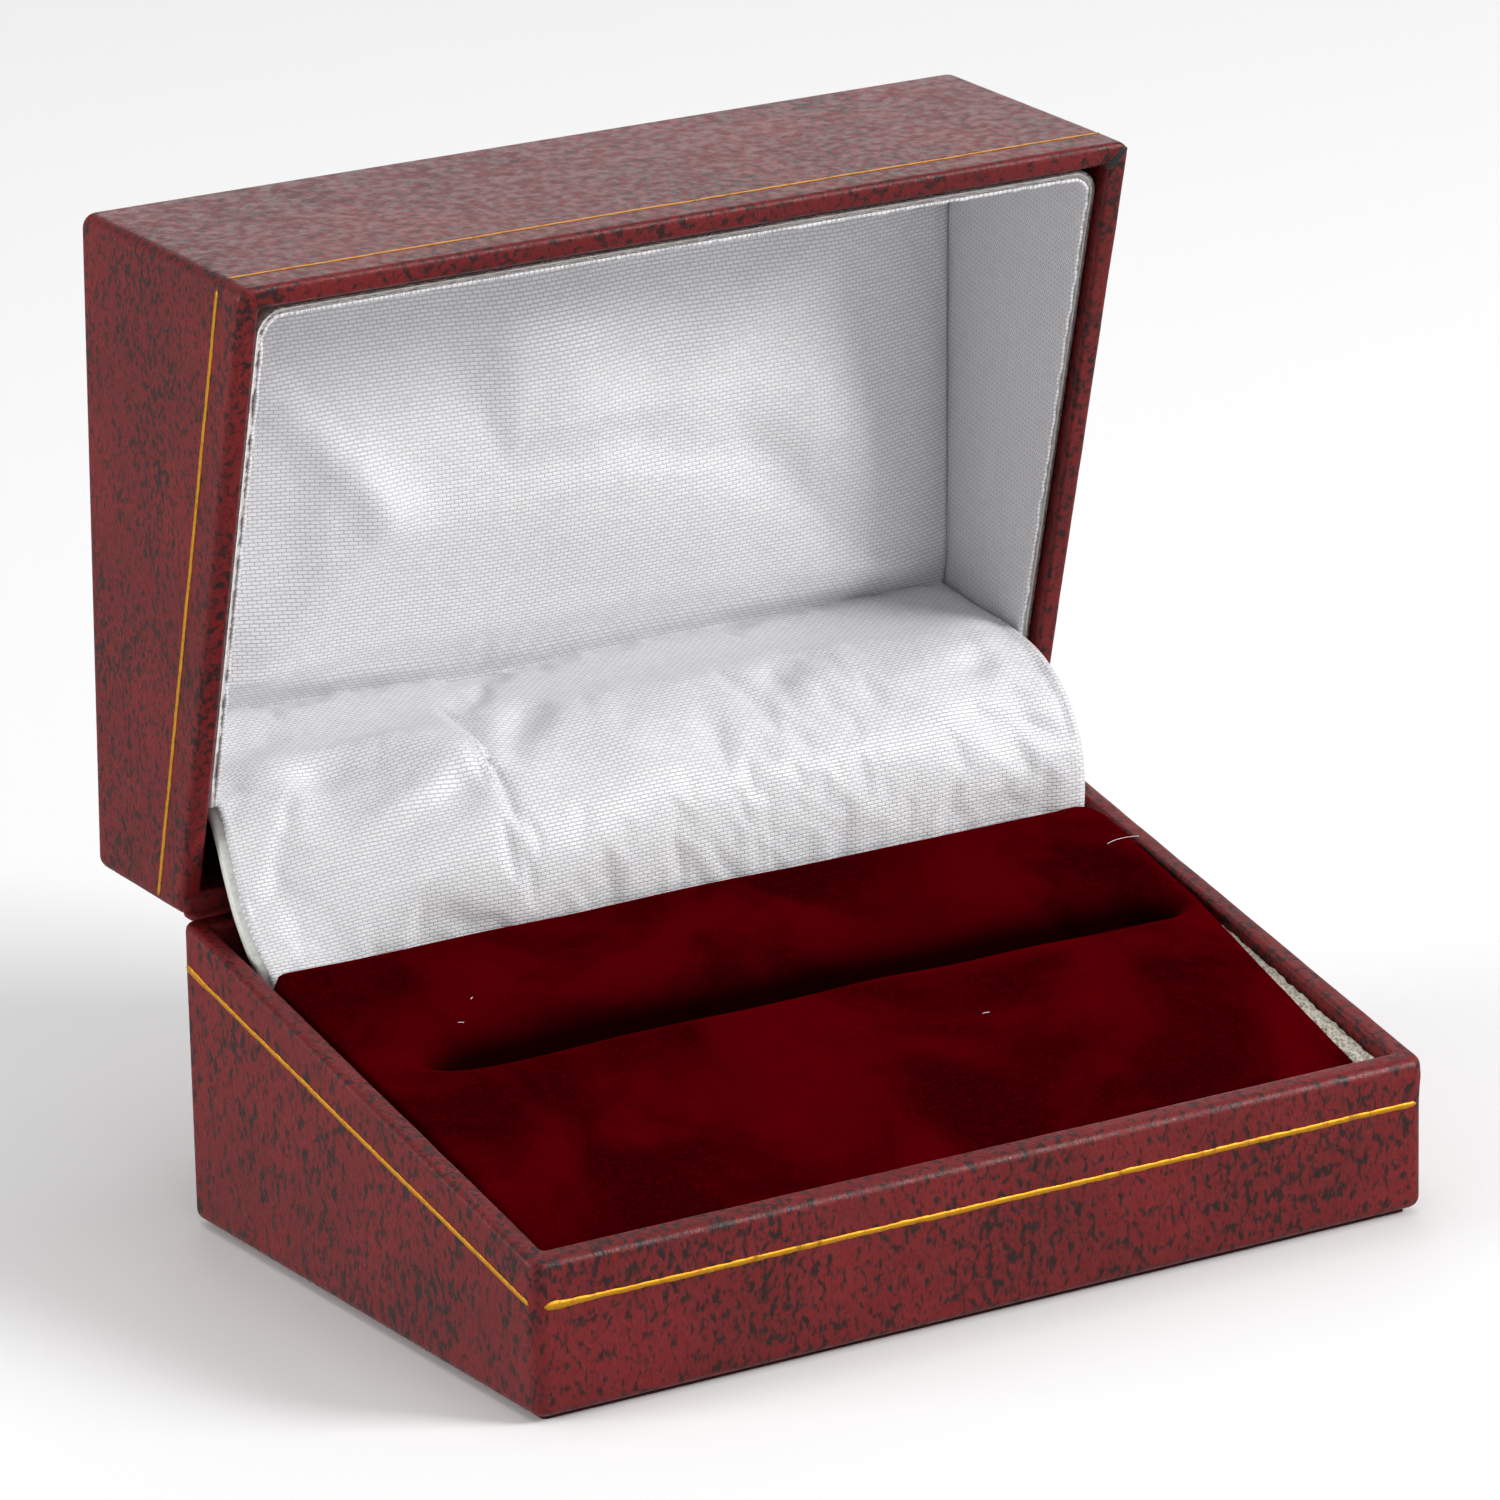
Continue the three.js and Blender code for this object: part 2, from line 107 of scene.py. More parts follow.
class RingBoxCoverSettings(bpy.types.PropertyGroup):
    """Covering paper of both halves."""

    paper: size_setting("Paper", "Thickness of the leatherette paper", 0.35)
    rim_width: size_setting("Rim Width", "Width of the rim over the core's wall", 2.0)
    upright_radius: size_setting("Upright Corners", "Radius of the four upright corners", 1.25)
    far_radius: size_setting("Far Edges", "Radius of the edges round the underside and the lid's top", 0.95)
    rim_outer_radius: size_setting("Outer Rim Roll", "Radius of the rim's outer edge", 0.65)
    rim_inner_radius: size_setting("Inner Rim Roll", "Radius of the rim's inner edge", 0.45)
    turn_in: size_setting("Turn-In", "Depth of the paper inside the rim", 9.0)
    lid_turn_in: size_setting("Lid Turn-In", "Depth of the paper inside the lid's rim", 12.5)
    turn_under: size_setting("Turn-Under", "Width of the paper under the base", 8.0)
    red: colour_setting("Burgundy", "Ground colour of the leatherette", "#771a1c")
    deep_red: colour_setting("Deep Burgundy", "Darker clouds in the leatherette's ground", "#551214")
    speckle: colour_setting("Speckle", "Dark printed speckle of the leatherette", "#1f1a1a")


class RingBoxFoilSettings(bpy.types.PropertyGroup):
    """Stamped gold line round each half."""

    from_rim: size_setting("From Rim", "Height of the line's middle from the parting plane", 3.85)
    width: size_setting("Width", "Width of the stamped line", 0.46)
    gold: colour_setting("Gold", "Colour of the stamped foil", "#dc9a18")


class RingBoxCushionSettings(bpy.types.PropertyGroup):
    """Ring cushion in the base."""

    front_drop: size_setting("Front Drop", "Depth of the velvet's front edge below the parting plane", 1.5)
    back_rise: size_setting("Back Rise", "Height of the velvet's back edge above the parting plane", 0.7)
    crown: size_setting("Crown", "Height that the foam pushes the velvet up by in the middle", 0.5)
    slot_depth: size_setting("Slot Depth", "Depth of the ring slot", 7.5)
    slot_roll: size_setting("Slot Roll", "Distance over which the velvet rolls into the slot", 3.2)
    slot_left: size_setting("Slot Left End", "Place of the slot's left end from the middle", -33.5)
    slot_right: size_setting("Slot Right End", "Place of the slot's right end from the middle", 38.6)
    red: colour_setting("Velvet Red", "Colour of the velvet's pile", "#4c0005")
    cream: colour_setting("Foam", "Colour of the cut foam", "#ebe6d8")


class RingBoxSatinSettings(bpy.types.PropertyGroup):
    """Satin of the lid's collar, pad and hinge cover."""

    pad_puff: size_setting("Pad Puff", "Height of the lid pad's middle over its board", 5.6)
    white: colour_setting("Satin White", "Colour of the satin", "#f0eff0")
    shade: colour_setting("Satin Shade", "Colour between the satin's threads", "#c2c2c8")


class RingBoxSettings(bpy.types.PropertyGroup):
    """All of the ring box's settings."""

    cover: PointerProperty(type=RingBoxCoverSettings)
    foil: PointerProperty(type=RingBoxFoilSettings)
    cushion: PointerProperty(type=RingBoxCushionSettings)
    satin: PointerProperty(type=RingBoxSatinSettings)


def settings():
    return bpy.context.scene.ring_box


# Materials


def add_node(tree, kind, inputs=None, **attributes):
    """Adds a node, sets its attributes, and sets or links its inputs."""
    made = tree.nodes.new(kind)
    for name, value in attributes.items():
        setattr(made, name, value)
    for key, value in (inputs or {}).items():
        if isinstance(value, bpy.types.NodeSocket):
            tree.links.new(value, made.inputs[key])
        else:
            made.inputs[key].default_value = value
    return made


def new_material(name, **shader_inputs):
    """A material with a Principled shader, and its node tree and shader."""
    material = bpy.data.materials.new(name)
    material.use_nodes = True
    tree = material.node_tree
    tree.nodes.clear()
    shader = add_node(tree, "ShaderNodeBsdfPrincipled")
    for key, value in shader_inputs.items():
        shader.inputs[key.replace("_", " ")].default_value = value
    add_node(tree, "ShaderNodeOutputMaterial", {"Surface": shader.outputs["BSDF"]})
    return material, tree, shader


def blend_colours(tree, share, first, second, mode="MIX"):
    """A colour socket that goes from the first colour to the second."""
    mixed = add_node(
        tree, "ShaderNodeMixRGB", {"Fac": share, "Color1": first, "Color2": second}, blend_type=mode
    )
    return mixed.outputs["Color"]


def band(tree, value, low, high, to_low=0.0, to_high=1.0):
    """A number socket that runs smoothly between two values of another."""
    made = add_node(
        tree,
        "ShaderNodeMapRange",
        {"Value": value, "From Min": low, "From Max": high, "To Min": to_low, "To Max": to_high},
        interpolation_type="SMOOTHSTEP",
    )
    return made.outputs["Result"]


def object_place(tree, stretch=(1, 1, 1)):
    """Object coordinates, drawn out along an axis by a scale below 1."""
    place = add_node(tree, "ShaderNodeTexCoord").outputs["Object"]
    return add_node(tree, "ShaderNodeMapping", {"Vector": place, "Scale": stretch}).outputs["Vector"]


def cloud(tree, place, size, detail=2.0, roughness=0.5, distortion=0.0):
    """Noise whose patches are about one size across, given in metres."""
    made = add_node(
        tree,
        "ShaderNodeTexNoise",
        {
            "Vector": place,
            "Scale": 0.5 / size,
            "Detail": detail,
            "Roughness": roughness,
            "Distortion": distortion,
        },
    )
    return made.outputs["Fac"]


def raised(tree, shader, height, distance, strength=1.0, under=None):
    """Gives a shader relief of a depth in metres, over any relief that is given."""
    inputs = {"Height": height, "Distance": distance, "Strength": strength}
    if under is not None:
        inputs["Normal"] = under
    bump = add_node(tree, "ShaderNodeBump", inputs)
    tree.links.new(bump.outputs["Normal"], shader.inputs["Normal"])
    return bump.outputs["Normal"]


def leatherette(name, upright, blot=0.34):
    """Embossed leatherette paper: a coated paper printed in burgundy with dark speckle and pressed with
    a fine leather grain. The coating gives a soft grey gloss where light grazes it."""
    chosen = settings().cover
    material, tree, shader = new_material(name, Roughness=0.42, Specular_IOR_Level=0.31, IOR=1.5)
    place = object_place(tree)
    drawn_out = object_place(tree, upright)
    clouded = band(tree, cloud(tree, place, 5 * MM, 3), 0.35, 0.65, 0, 0.35)
    ground = blend_colours(tree, clouded, chosen.red[:], chosen.deep_red[:])
    fine = cloud(tree, drawn_out, 0.2 * MM, 3, 0.6)
    ground = blend_colours(tree, band(tree, fine, 0.45, 0.66, 0, 0.5), ground, chosen.deep_red[:])
    blots = cloud(tree, drawn_out, blot * MM, 3, 0.55, 0.4)
    gathered = band(tree, cloud(tree, place, 4.5 * MM, 2), 0.35, 0.65, -0.03, 0.03)
    spots = add_node(tree, "ShaderNodeMath", {0: blots, 1: gathered}, operation="ADD").outputs["Value"]
    ground = blend_colours(tree, band(tree, spots, 0.47, 0.65, 0, 0.88), ground, chosen.speckle[:])
    tree.links.new(ground, shader.inputs["Base Color"])
    shine = cloud(tree, place, 0.5 * MM, 3)
    tree.links.new(band(tree, shine, 0.3, 0.7, 0.34, 0.52), shader.inputs["Roughness"])
    grain = cloud(tree, drawn_out, 0.16 * MM, 3, 0.6)
    wave = raised(tree, shader, cloud(tree, place, 7 * MM, 1), 0.12 * MM, 0.6)
    raised(tree, shader, grain, 0.07 * MM, 0.9, wave)
    return material


def gold_foil():
    """Hot-stamped gold foil: metal a few thousandths of a millimetre thick on the paper's grain, so it
    glints and is worn dull in places."""
    material, tree, shader = new_material("Gold stamping foil", Metallic=0.6, Roughness=0.5)
    place = object_place(tree)
    worn = band(tree, cloud(tree, place, 0.5 * MM, 4, 0.7), 0.5, 0.72)
    colour = blend_colours(tree, worn, settings().foil.gold[:], linear("#a8741c"))
    tree.links.new(colour, shader.inputs["Base Color"])
    tree.links.new(band(tree, worn, 0, 1, 0.48, 0.7), shader.inputs["Roughness"])
    raised(tree, shader, cloud(tree, place, 0.18 * MM, 3), 0.03 * MM, 0.8)
    return material


def velvet():
    """Cotton velvet: a dense cut pile that is almost black seen end-on and lights up along its edges,
    brushed into lighter and darker patches, with painted shade down in the slot."""
    material, tree, shader = new_material(
        "Velvet pile",
        Roughness=1.0,
        Specular_IOR_Level=0.0,
        Sheen_Weight=0.16,
        Sheen_Roughness=0.3,
        Sheen_Tint=linear("#c80010"),
    )
    place = object_place(tree)
    brushed = band(tree, cloud(tree, place, 9 * MM, 3, 0.55, 0.6), 0.36, 0.64)
    colour = blend_colours(tree, brushed, settings().cushion.red[:], linear("#2c0002"))
    pile = cloud(tree, place, 0.2 * MM, 3, 0.7)
    colour = blend_colours(tree, band(tree, pile, 0.45, 0.75, 0, 0.35), colour, linear("#620007"))
    # Painted shade: the colour darkens down into the slot, where little light comes back out of it.
    slot_shade = add_node(tree, "ShaderNodeAttribute", attribute_name="slot_depth").outputs["Fac"]
    colour = blend_colours(tree, band(tree, slot_shade, 0.03, 0.35, 0, 0.95), colour, linear("#0c0000"))
    tree.links.new(colour, shader.inputs["Base Color"])
    lean = raised(tree, shader, cloud(tree, place, 3 * MM, 2), 0.3 * MM, 0.3)
    raised(tree, shader, pile, 0.1 * MM, 0.45, lean)
    return material


def cut_foam():
    """Cut polyether foam: open cells a few tenths of a millimetre across on a torn, chalky face."""
    material, tree, shader = new_material("Cut foam", Roughness=0.95, Specular_IOR_Level=0.2)
    place = object_place(tree)
    cells = add_node(tree, "ShaderNodeTexVoronoi", {"Vector": place, "Scale": 1 / (0.35 * MM)})
    colour = blend_colours(
        tree,
        band(tree, cells.outputs["Distance"], 0.1, 0.7),
        linear("#b5ad98"),
        settings().cushion.cream[:],
    )
    dusty = band(tree, cloud(tree, place, 1.5 * MM, 3), 0.4, 0.7, 0, 0.4)
    colour = blend_colours(tree, dusty, colour, linear("#b5ab94"))
    tree.links.new(colour, shader.inputs["Base Color"])
    raised(tree, shader, cells.outputs["Distance"], 0.2 * MM, 0.8)
    return material


def satin(name, thread=0.33, turn=0.0, gloss=0.34):
    """Polyester satin: warp threads float over the weft in staggered dashes, a few to the millimetre,
    which gives a smooth face with a soft, stretched gleam."""
    chosen = settings().satin
    material, tree, shader = new_material(
        name,
        Roughness=gloss,
        Specular_IOR_Level=0.5,
        Anisotropic=0.35,
        Sheen_Weight=0.12,
        Sheen_Roughness=0.4,
    )
    cloth = add_node(tree, "ShaderNodeUVMap", uv_map="cloth").outputs["UV"]
    cloth = add_node(tree, "ShaderNodeMapping", {"Vector": cloth, "Rotation": (0, 0, turn)}).outputs["Vector"]
    # The cloth's own map is in metres of cloth, and a dash is two threads long.
    weave = add_node(
        tree,
        "ShaderNodeTexBrick",
        {
            "Vector": cloth,
            "Color1": (1, 1, 1, 1),
            "Color2": (0.7, 0.7, 0.7, 1),
            "Mortar": (0, 0, 0, 1),
            "Scale": 1.0,
            "Mortar Size": 0.24 * thread * MM,
            "Mortar Smooth": 1.0,
            "Brick Width": 2.3 * thread * MM,
            "Row Height": thread * MM,
        },
        offset=0.5,
    ).outputs["Color"]
    height = add_node(tree, "ShaderNodeRGBToBW", {"Color": weave}).outputs["Val"]
    colour = blend_colours(tree, band(tree, height, 0.1, 0.9), chosen.shade[:], chosen.white[:])
    uneven = band(tree, cloud(tree, cloth, 0.6 * MM, 3), 0.35, 0.75, 0, 0.14)
    colour = blend_colours(tree, uneven, colour, linear("#c9c6cf"))
    tree.links.new(colour, shader.inputs["Base Color"])
    soft = raised(tree, shader, cloud(tree, cloth, 5 * MM, 2), 0.25 * MM, 0.35)
    raised(tree, shader, height, 0.05 * MM, 0.7, soft)
    return material


def fibre_board(name, light, dark):
    """Uncoated card: pressed wood fibres, matt, with short darker fibres and a cut edge."""
    material, tree, shader = new_material(name, Roughness=0.85, Specular_IOR_Level=0.25)
    place = object_place(tree)
    fibres = cloud(tree, object_place(tree, (0.35, 1, 1)), 0.15 * MM, 3, 0.7)
    colour = blend_colours(tree, band(tree, fibres, 0.4, 0.7), linear(light), linear(dark))
    tree.links.new(colour, shader.inputs["Base Color"])
    raised(tree, shader, cloud(tree, place, 0.12 * MM, 3), 0.04 * MM, 0.6)
    return material


def moulded_plastic():
    """Injection-moulded polystyrene: black, with the faint texture of a spark-eroded mould."""
    material, tree, shader = new_material("Moulded black polystyrene", Roughness=0.4, IOR=1.59)
    place = object_place(tree)
    colour = blend_colours(
        tree, band(tree, cloud(tree, place, 2 * MM, 2), 0.3, 0.7), linear("#111315"), linear("#1d2023")
    )
    tree.links.new(colour, shader.inputs["Base Color"])
    tree.links.new(band(tree, cloud(tree, place, 1 * MM, 3), 0.3, 0.7, 0.32, 0.5), shader.inputs["Roughness"])
    raised(tree, shader, cloud(tree, place, 0.1 * MM, 2), 0.02 * MM, 0.6)
    return material


def bright_steel():
    """Nickel-plated spring steel: rolled strip with fine lines along it and a little wear."""
    material, tree, shader = new_material("Nickel-plated steel", Metallic=1.0, Roughness=0.28)
    lines = cloud(tree, object_place(tree, (0.05, 1, 1)), 0.05 * MM, 3)
    wear = cloud(tree, object_place(tree), 1.5 * MM, 4, 0.6)
    colour = blend_colours(tree, band(tree, wear, 0.4, 0.75), linear("#cfcdc8"), linear("#98958e"))
    tree.links.new(colour, shader.inputs["Base Color"])
    tree.links.new(band(tree, wear, 0.3, 0.8, 0.2, 0.45), shader.inputs["Roughness"])
    raised(tree, shader, lines, 0.01 * MM, 0.5)
    return material


def finish(obj, material, body, slot, *nodes):
    """Gives a piece its material, and hangs it on its body in place of CAD nodes; the slot argument is not
    used.
    """
    obj.data.materials.clear()
    obj.data.materials.append(material)
    if body:
        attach(obj, body)
    if nodes:
        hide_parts(*nodes)
    return obj


# Shapes


def smooth_step(low, high, value):
    share = min(max((value - low) / (high - low), 0.0), 1.0)
    return share * share * (3 - 2 * share)


def bump_at(value, middle, spread):
    """A round bump of height 1 round one place on a line."""
    return math.exp(-(((value - middle) / spread) ** 2))


def parting_height(y):
    """Height of the parting plane at a place from front to back."""
    return HINGE.z + (y - HINGE.y) * math.tan(SLOPE)


def turn_open(bm):
    """Turns a piece of the closed lid open about the hinge."""
    bmesh.ops.rotate(bm, cent=HINGE, matrix=Matrix.Rotation(-OPEN, 3, "X"), verts=bm.verts)


def piece(name, bm, smooth=True):
    """An object in the scene from a bmesh, which is freed."""
    mesh = bpy.data.meshes.new(name)
    for face in bm.faces:
        face.smooth = smooth
    bm.to_mesh(mesh)
    bm.free()
    obj = bpy.data.objects.new(name, mesh)
    bpy.context.scene.collection.objects.link(obj)
    return obj


def edges_along(bm, direction):
    """The edges that run along a direction, to within about 26 degrees."""
    found = []
    for edge in bm.edges:
        along = edge.verts[1].co - edge.verts[0].co
        if along.length > 1e-9 and abs(along.normalized().dot(direction)) > 0.9:
            found.append(edge)
    return found


def round_edges(bm, edges, radius, segments):
    """Rounds edges to a radius."""
    bmesh.ops.bevel(
        bm,
        geom=edges,
        offset=radius,
        offset_type="OFFSET",
        segments=segments,
        profile=0.5,
        affect="EDGES",
        material=-1,
    )


def extruded(bm, edges):
    """Extrudes edges, and gives the new edges and vertices."""
    made = bmesh.ops.extrude_edge_only(bm, edges=edges)["geom"]
    new_edges = [g for g in made if isinstance(g, bmesh.types.BMEdge)]
    return new_edges, [g for g in made if isinstance(g, bmesh.types.BMVert)]


def rounded_block(width, front, back, bottom, top, radius, segments=6):
    """A block between heights, with its four upright edges rounded."""
    bm = bmesh.new()
    bmesh.ops.create_cube(bm, size=1)
    bmesh.ops.scale(bm, vec=(2 * width, back - front, top - bottom), verts=bm.verts)
    bmesh.ops.translate(bm, vec=(0, (front + back) / 2, (bottom + top) / 2), verts=bm.verts)
    round_edges(bm, edges_along(bm, Vector((0, 0, 1))), radius, segments)
    return bm


def cut_off(bm, point, normal):
    """Removes what lies beyond a plane, on the side its normal points to."""
    bmesh.ops.bisect_plane(
        bm,
        geom=bm.verts[:] + bm.edges[:] + bm.faces[:],
        plane_co=point,
        plane_no=normal,
        clear_outer=True,
        dist=1e-7,
    )


def split_at(bm, point, normal):
    """Cuts edges along a plane and keeps both sides."""
    bmesh.ops.bisect_plane(
        bm, geom=bm.verts[:] + bm.edges[:] + bm.faces[:], plane_co=point, plane_no=normal, dist=1e-7
    )


def divide_long(bm, direction, length):
    """Divides the edges along a direction into pieces of about one length."""
    found = [e for e in edges_along(bm, direction) if e.calc_length() > 2 * length]
    if found:
        longest = max(e.calc_length() for e in found)
        bmesh.ops.subdivide_edges(bm, edges=found, cuts=round(longest / length) - 1, use_grid_fill=True)


def corner_radius(inset):
    """Radius of the upright corners at a distance in from the outside."""
    return max(settings().cover.upright_radius - inset, 0.45 * MM)


def grow_inwards(bm, edges, before, after):
    """Extrudes a loop that goes round the box at one inset to another, its corners kept round."""
    new_edges, verts = extruded(bm, edges)
    depth = (BACK - FRONT) / 2
    was, now = corner_radius(before), corner_radius(after)
    for vert in verts:
        x, y = abs(vert.co.x), abs(vert.co.y)
        turn = math.atan2(y - (depth - before - was), x - (HALF_WIDTH - before - was))
        x = HALF_WIDTH - after - now + now * math.cos(turn)
        y = depth - after - now + now * math.sin(turn)
        vert.co.x, vert.co.y = math.copysign(x, vert.co.x), math.copysign(y, vert.co.y)
    return new_edges, verts


def hand_wave(place, normal, height):
    """How far hand-wrapped paper stands off at a place: a slow wave that fades away from the rim."""
    near_rim = 1 - smooth_step(2 * MM, 9 * MM, height)
    wave = noise.noise(place / (6 * MM)) * 0.045 + noise.noise(place / (2.2 * MM)) * 0.02
    return normal * wave * near_rim * MM


def paper_cover(half):
    """Covering paper of one half of the closed box: round its outside, over the rim and turned in."""
    chosen = settings().cover
    base = half == "base"
    up = 1 if base else -1
    far = BASE_LOW.z if base else CLOSED_HEIGHT
    tall = CLOSED_HEIGHT
    low, high = (far, tall) if base else (0, far)
    bm = rounded_block(HALF_WIDTH, FRONT, BACK, low, high, chosen.upright_radius)
    far_edges = [e for e in bm.edges if all(abs(v.co.z - far) < 1e-6 for v in e.verts)]
    round_edges(bm, far_edges, chosen.far_radius, 4)
    rim = Vector((0, BACK, HINGE.z - up * RIM_DROP))
    cut_off(bm, rim - up * CUT * chosen.rim_outer_radius, up * CUT)

    def rim_height(y, back):
        return rim.z + (y - BACK) * math.tan(SLOPE) - up * back / math.cos(SLOPE)

    quarter = [math.radians(a) for a in (22.5, 45, 67.5, 90)]
    outer, inner = chosen.rim_outer_radius, chosen.rim_inner_radius
    profile = [(outer * (1 - math.cos(a)), outer * (1 - math.sin(a))) for a in quarter]
    profile.append((chosen.rim_width / 2, 0))
    start = chosen.rim_width - inner
    profile.append((start, 0))
    profile += [(start + inner * math.sin(a), inner * (1 - math.cos(a))) for a in quarter]
    edges = [e for e in bm.edges if e.is_boundary]
    state = 0.0
    for inset, back in profile:
        edges, verts = grow_inwards(bm, edges, state, inset)
        for vert in verts:
            vert.co.z = rim_height(vert.co.y, back)
        state = inset
    edges, verts = grow_inwards(bm, edges, state, state)
    inside = chosen.turn_in if base else chosen.lid_turn_in
    bmesh.ops.translate(bm, vec=(0, 0, -up * inside), verts=verts)
    if base:
        end = min(bm.faces, key=lambda f: f.calc_center_median().z)
        edges = list(end.edges)
        bmesh.ops.delete(bm, geom=[end], context="FACES_ONLY")
        grow_inwards(bm, edges, chosen.far_radius, chosen.turn_under)
    bmesh.ops.recalc_face_normals(bm, faces=bm.faces)
    outside = max(bm.faces, key=lambda f: f.calc_center_median().x)
    if outside.normal.x < 0:
        bmesh.ops.reverse_faces(bm, faces=bm.faces)
    for direction, length in (
        (Vector((1, 0, 0)), 1.4 * MM),
        (Vector((0, 1, 0)), 1.4 * MM),
        (Vector((0, 0, 1)), 2.2 * MM),
    ):
        divide_long(bm, direction, length)
    open_hinge_room(bm)
    bm.normal_update()
    rim_corner = Vector((HALF_WIDTH, FRONT, parting_height(FRONT)))
    for vert in bm.verts:
        height = abs((vert.co - rim).dot(CUT))
        vert.co += hand_wave(vert.co, vert.normal, height)
        if base:  # a blister where the paper was folded over at the right of the front
            away = vert.co - rim_corner
            lift = bump_at(away.x, 0, 1.6 * MM) * bump_at(away.y, 0.4 * MM, 1.6 * MM)
            vert.co.x += 0.22 * MM * lift * bump_at(away.z, -1.6 * MM, 1.4 * MM)
    return bm


def open_hinge_room(bm):
    """Cuts the room for the hinge's barrel out of a half's paper."""
    low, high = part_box("hinge_pin")
    half_length, reach = high.x + 0.3 * MM, 1.2 * MM
    front = BACK - settings().cover.rim_width - 0.6 * MM
    for x in (-half_length, half_length):
        split_at(bm, (x, 0, 0), (1, 0, 0))
    for z in (HINGE.z - reach, HINGE.z + reach):
        split_at(bm, (0, 0, z), (0, 0, 1))
    room = []
    for face in bm.faces:
        middle = face.calc_center_median()
        if abs(middle.x) < half_length and abs(middle.z - HINGE.z) < reach and middle.y > front:
            room.append(face)
    bmesh.ops.delete(bm, geom=room, context="FACES")


def solidify(obj, thickness, offset=-1.0):
    """Gives a sheet its thickness, inwards from its face at an offset of -1."""
    solid = obj.modifiers.new("Thickness", "SOLIDIFY")
    solid.thickness = thickness
    solid.offset = offset
    return solid


def thicken(obj, thickness, offset=-1.0):
    """Gives a stiff sheet its thickness, and even shading across its flats."""
    solidify(obj, thickness, offset).use_even_offset = True
    weighted = obj.modifiers.new("Even shading", "WEIGHTED_NORMAL")
    weighted.keep_sharp = True
    return obj


def foil_line(half, side):
    """Stamped line on one outside face of a half, a little uneven along its edges."""
    chosen = settings().foil
    up = 1 if half == "base" else -1
    lengthways = side in ("front", "back")
    ends = (-HALF_WIDTH, HALF_WIDTH) if lengthways else (FRONT, BACK)
    stop = 0.9 * MM
    count = int((ends[1] - ends[0]) / (0.35 * MM))
    bm = bmesh.new()
    bmesh.ops.create_grid(bm, x_segments=count, y_segments=2, size=0.5)
    outward = {"front": (0, -1, 0), "back": (0, 1, 0), "left": (-1, 0, 0), "right": (1, 0, 0)}[side]
    outward = Vector(outward)
    seed = Vector((7.3 * up, 3.1 * outward.x + 5.7 * outward.y, 0))
    for vert in bm.verts:
        u, v = vert.co.x + 0.5, vert.co.y * 2
        along = ends[0] + stop + u * (ends[1] - ends[0] - 2 * stop)
        place = seed + Vector((along / (1.1 * MM), v * 4, 0))
        rough = 1 + 0.28 * noise.noise(place) + 0.2 * noise.noise(place * 2.7)
        end_share = min(u, 1 - u) * (ends[1] - ends[0])
        rough *= min(1.0, 0.25 + end_share / (0.5 * MM))
        if half == "base" and side in ("front", "left"):  # the foil smeared where the die was set down
            start_share = u * (ends[1] - ends[0]) if side == "front" else (1 - u) * (ends[1] - ends[0])
            rough *= 1 + 0.6 * bump_at(start_share, 1.2 * MM, 1.6 * MM)
        if half == "lid" and side == "front":
            rough *= 0.62
        drift = 0.06 * MM * noise.noise(Vector((along / (9 * MM), seed.x, seed.y)))
        x, y = (along, outward.y * BACK) if lengthways else (outward.x * HALF_WIDTH, along)
        z = parting_height(y) - up * chosen.from_rim + v * chosen.width / 2 * rough + drift
        vert.co = Vector((x, y, z))
        height = abs((vert.co.z - parting_height(y)) * math.cos(SLOPE))
        vert.co += hand_wave(vert.co, outward, height) + outward * 0.02 * MM
    bm.normal_update()
    if bm.faces[:][0].normal.dot(outward) < 0:
        bmesh.ops.reverse_faces(bm, faces=bm.faces)
    return bm


def joined(parts):
    """One bmesh from several, which are freed."""
    whole = bmesh.new()
    for part in parts:
        mesh = bpy.data.meshes.new("part")
        part.to_mesh(mesh)
        part.free()
        whole.from_mesh(mesh)
        bpy.data.meshes.remove(mesh)
    return whole


def cloth_grid(columns, rows, width, length, place):
    """A sheet of cloth from a grid: place gives each point's position from its shares of the sheet, and
    the cloth's own map holds metres of cloth."""
    bm = bmesh.new()
    layer = bm.loops.layers.uv.new("cloth")
    bmesh.ops.create_grid(bm, x_segments=columns, y_segments=rows, size=0.5)
    for face in bm.faces:
        for loop in face.loops:
            loop[layer].uv = ((loop.vert.co.x + 0.5) * width, (loop.vert.co.y + 0.5) * length)
    for vert in bm.verts:
        vert.co = place(vert.co.x + 0.5, vert.co.y + 0.5)
    bm.normal_update()
    return bm


def face_towards(bm, direction):
    """Turns a sheet's faces so that most look one way."""
    bm.normal_update()
    if sum(f.normal.dot(direction) * f.calc_area() for f in bm.faces) < 0:
        bmesh.ops.reverse_faces(bm, faces=bm.faces)
        bm.normal_update()


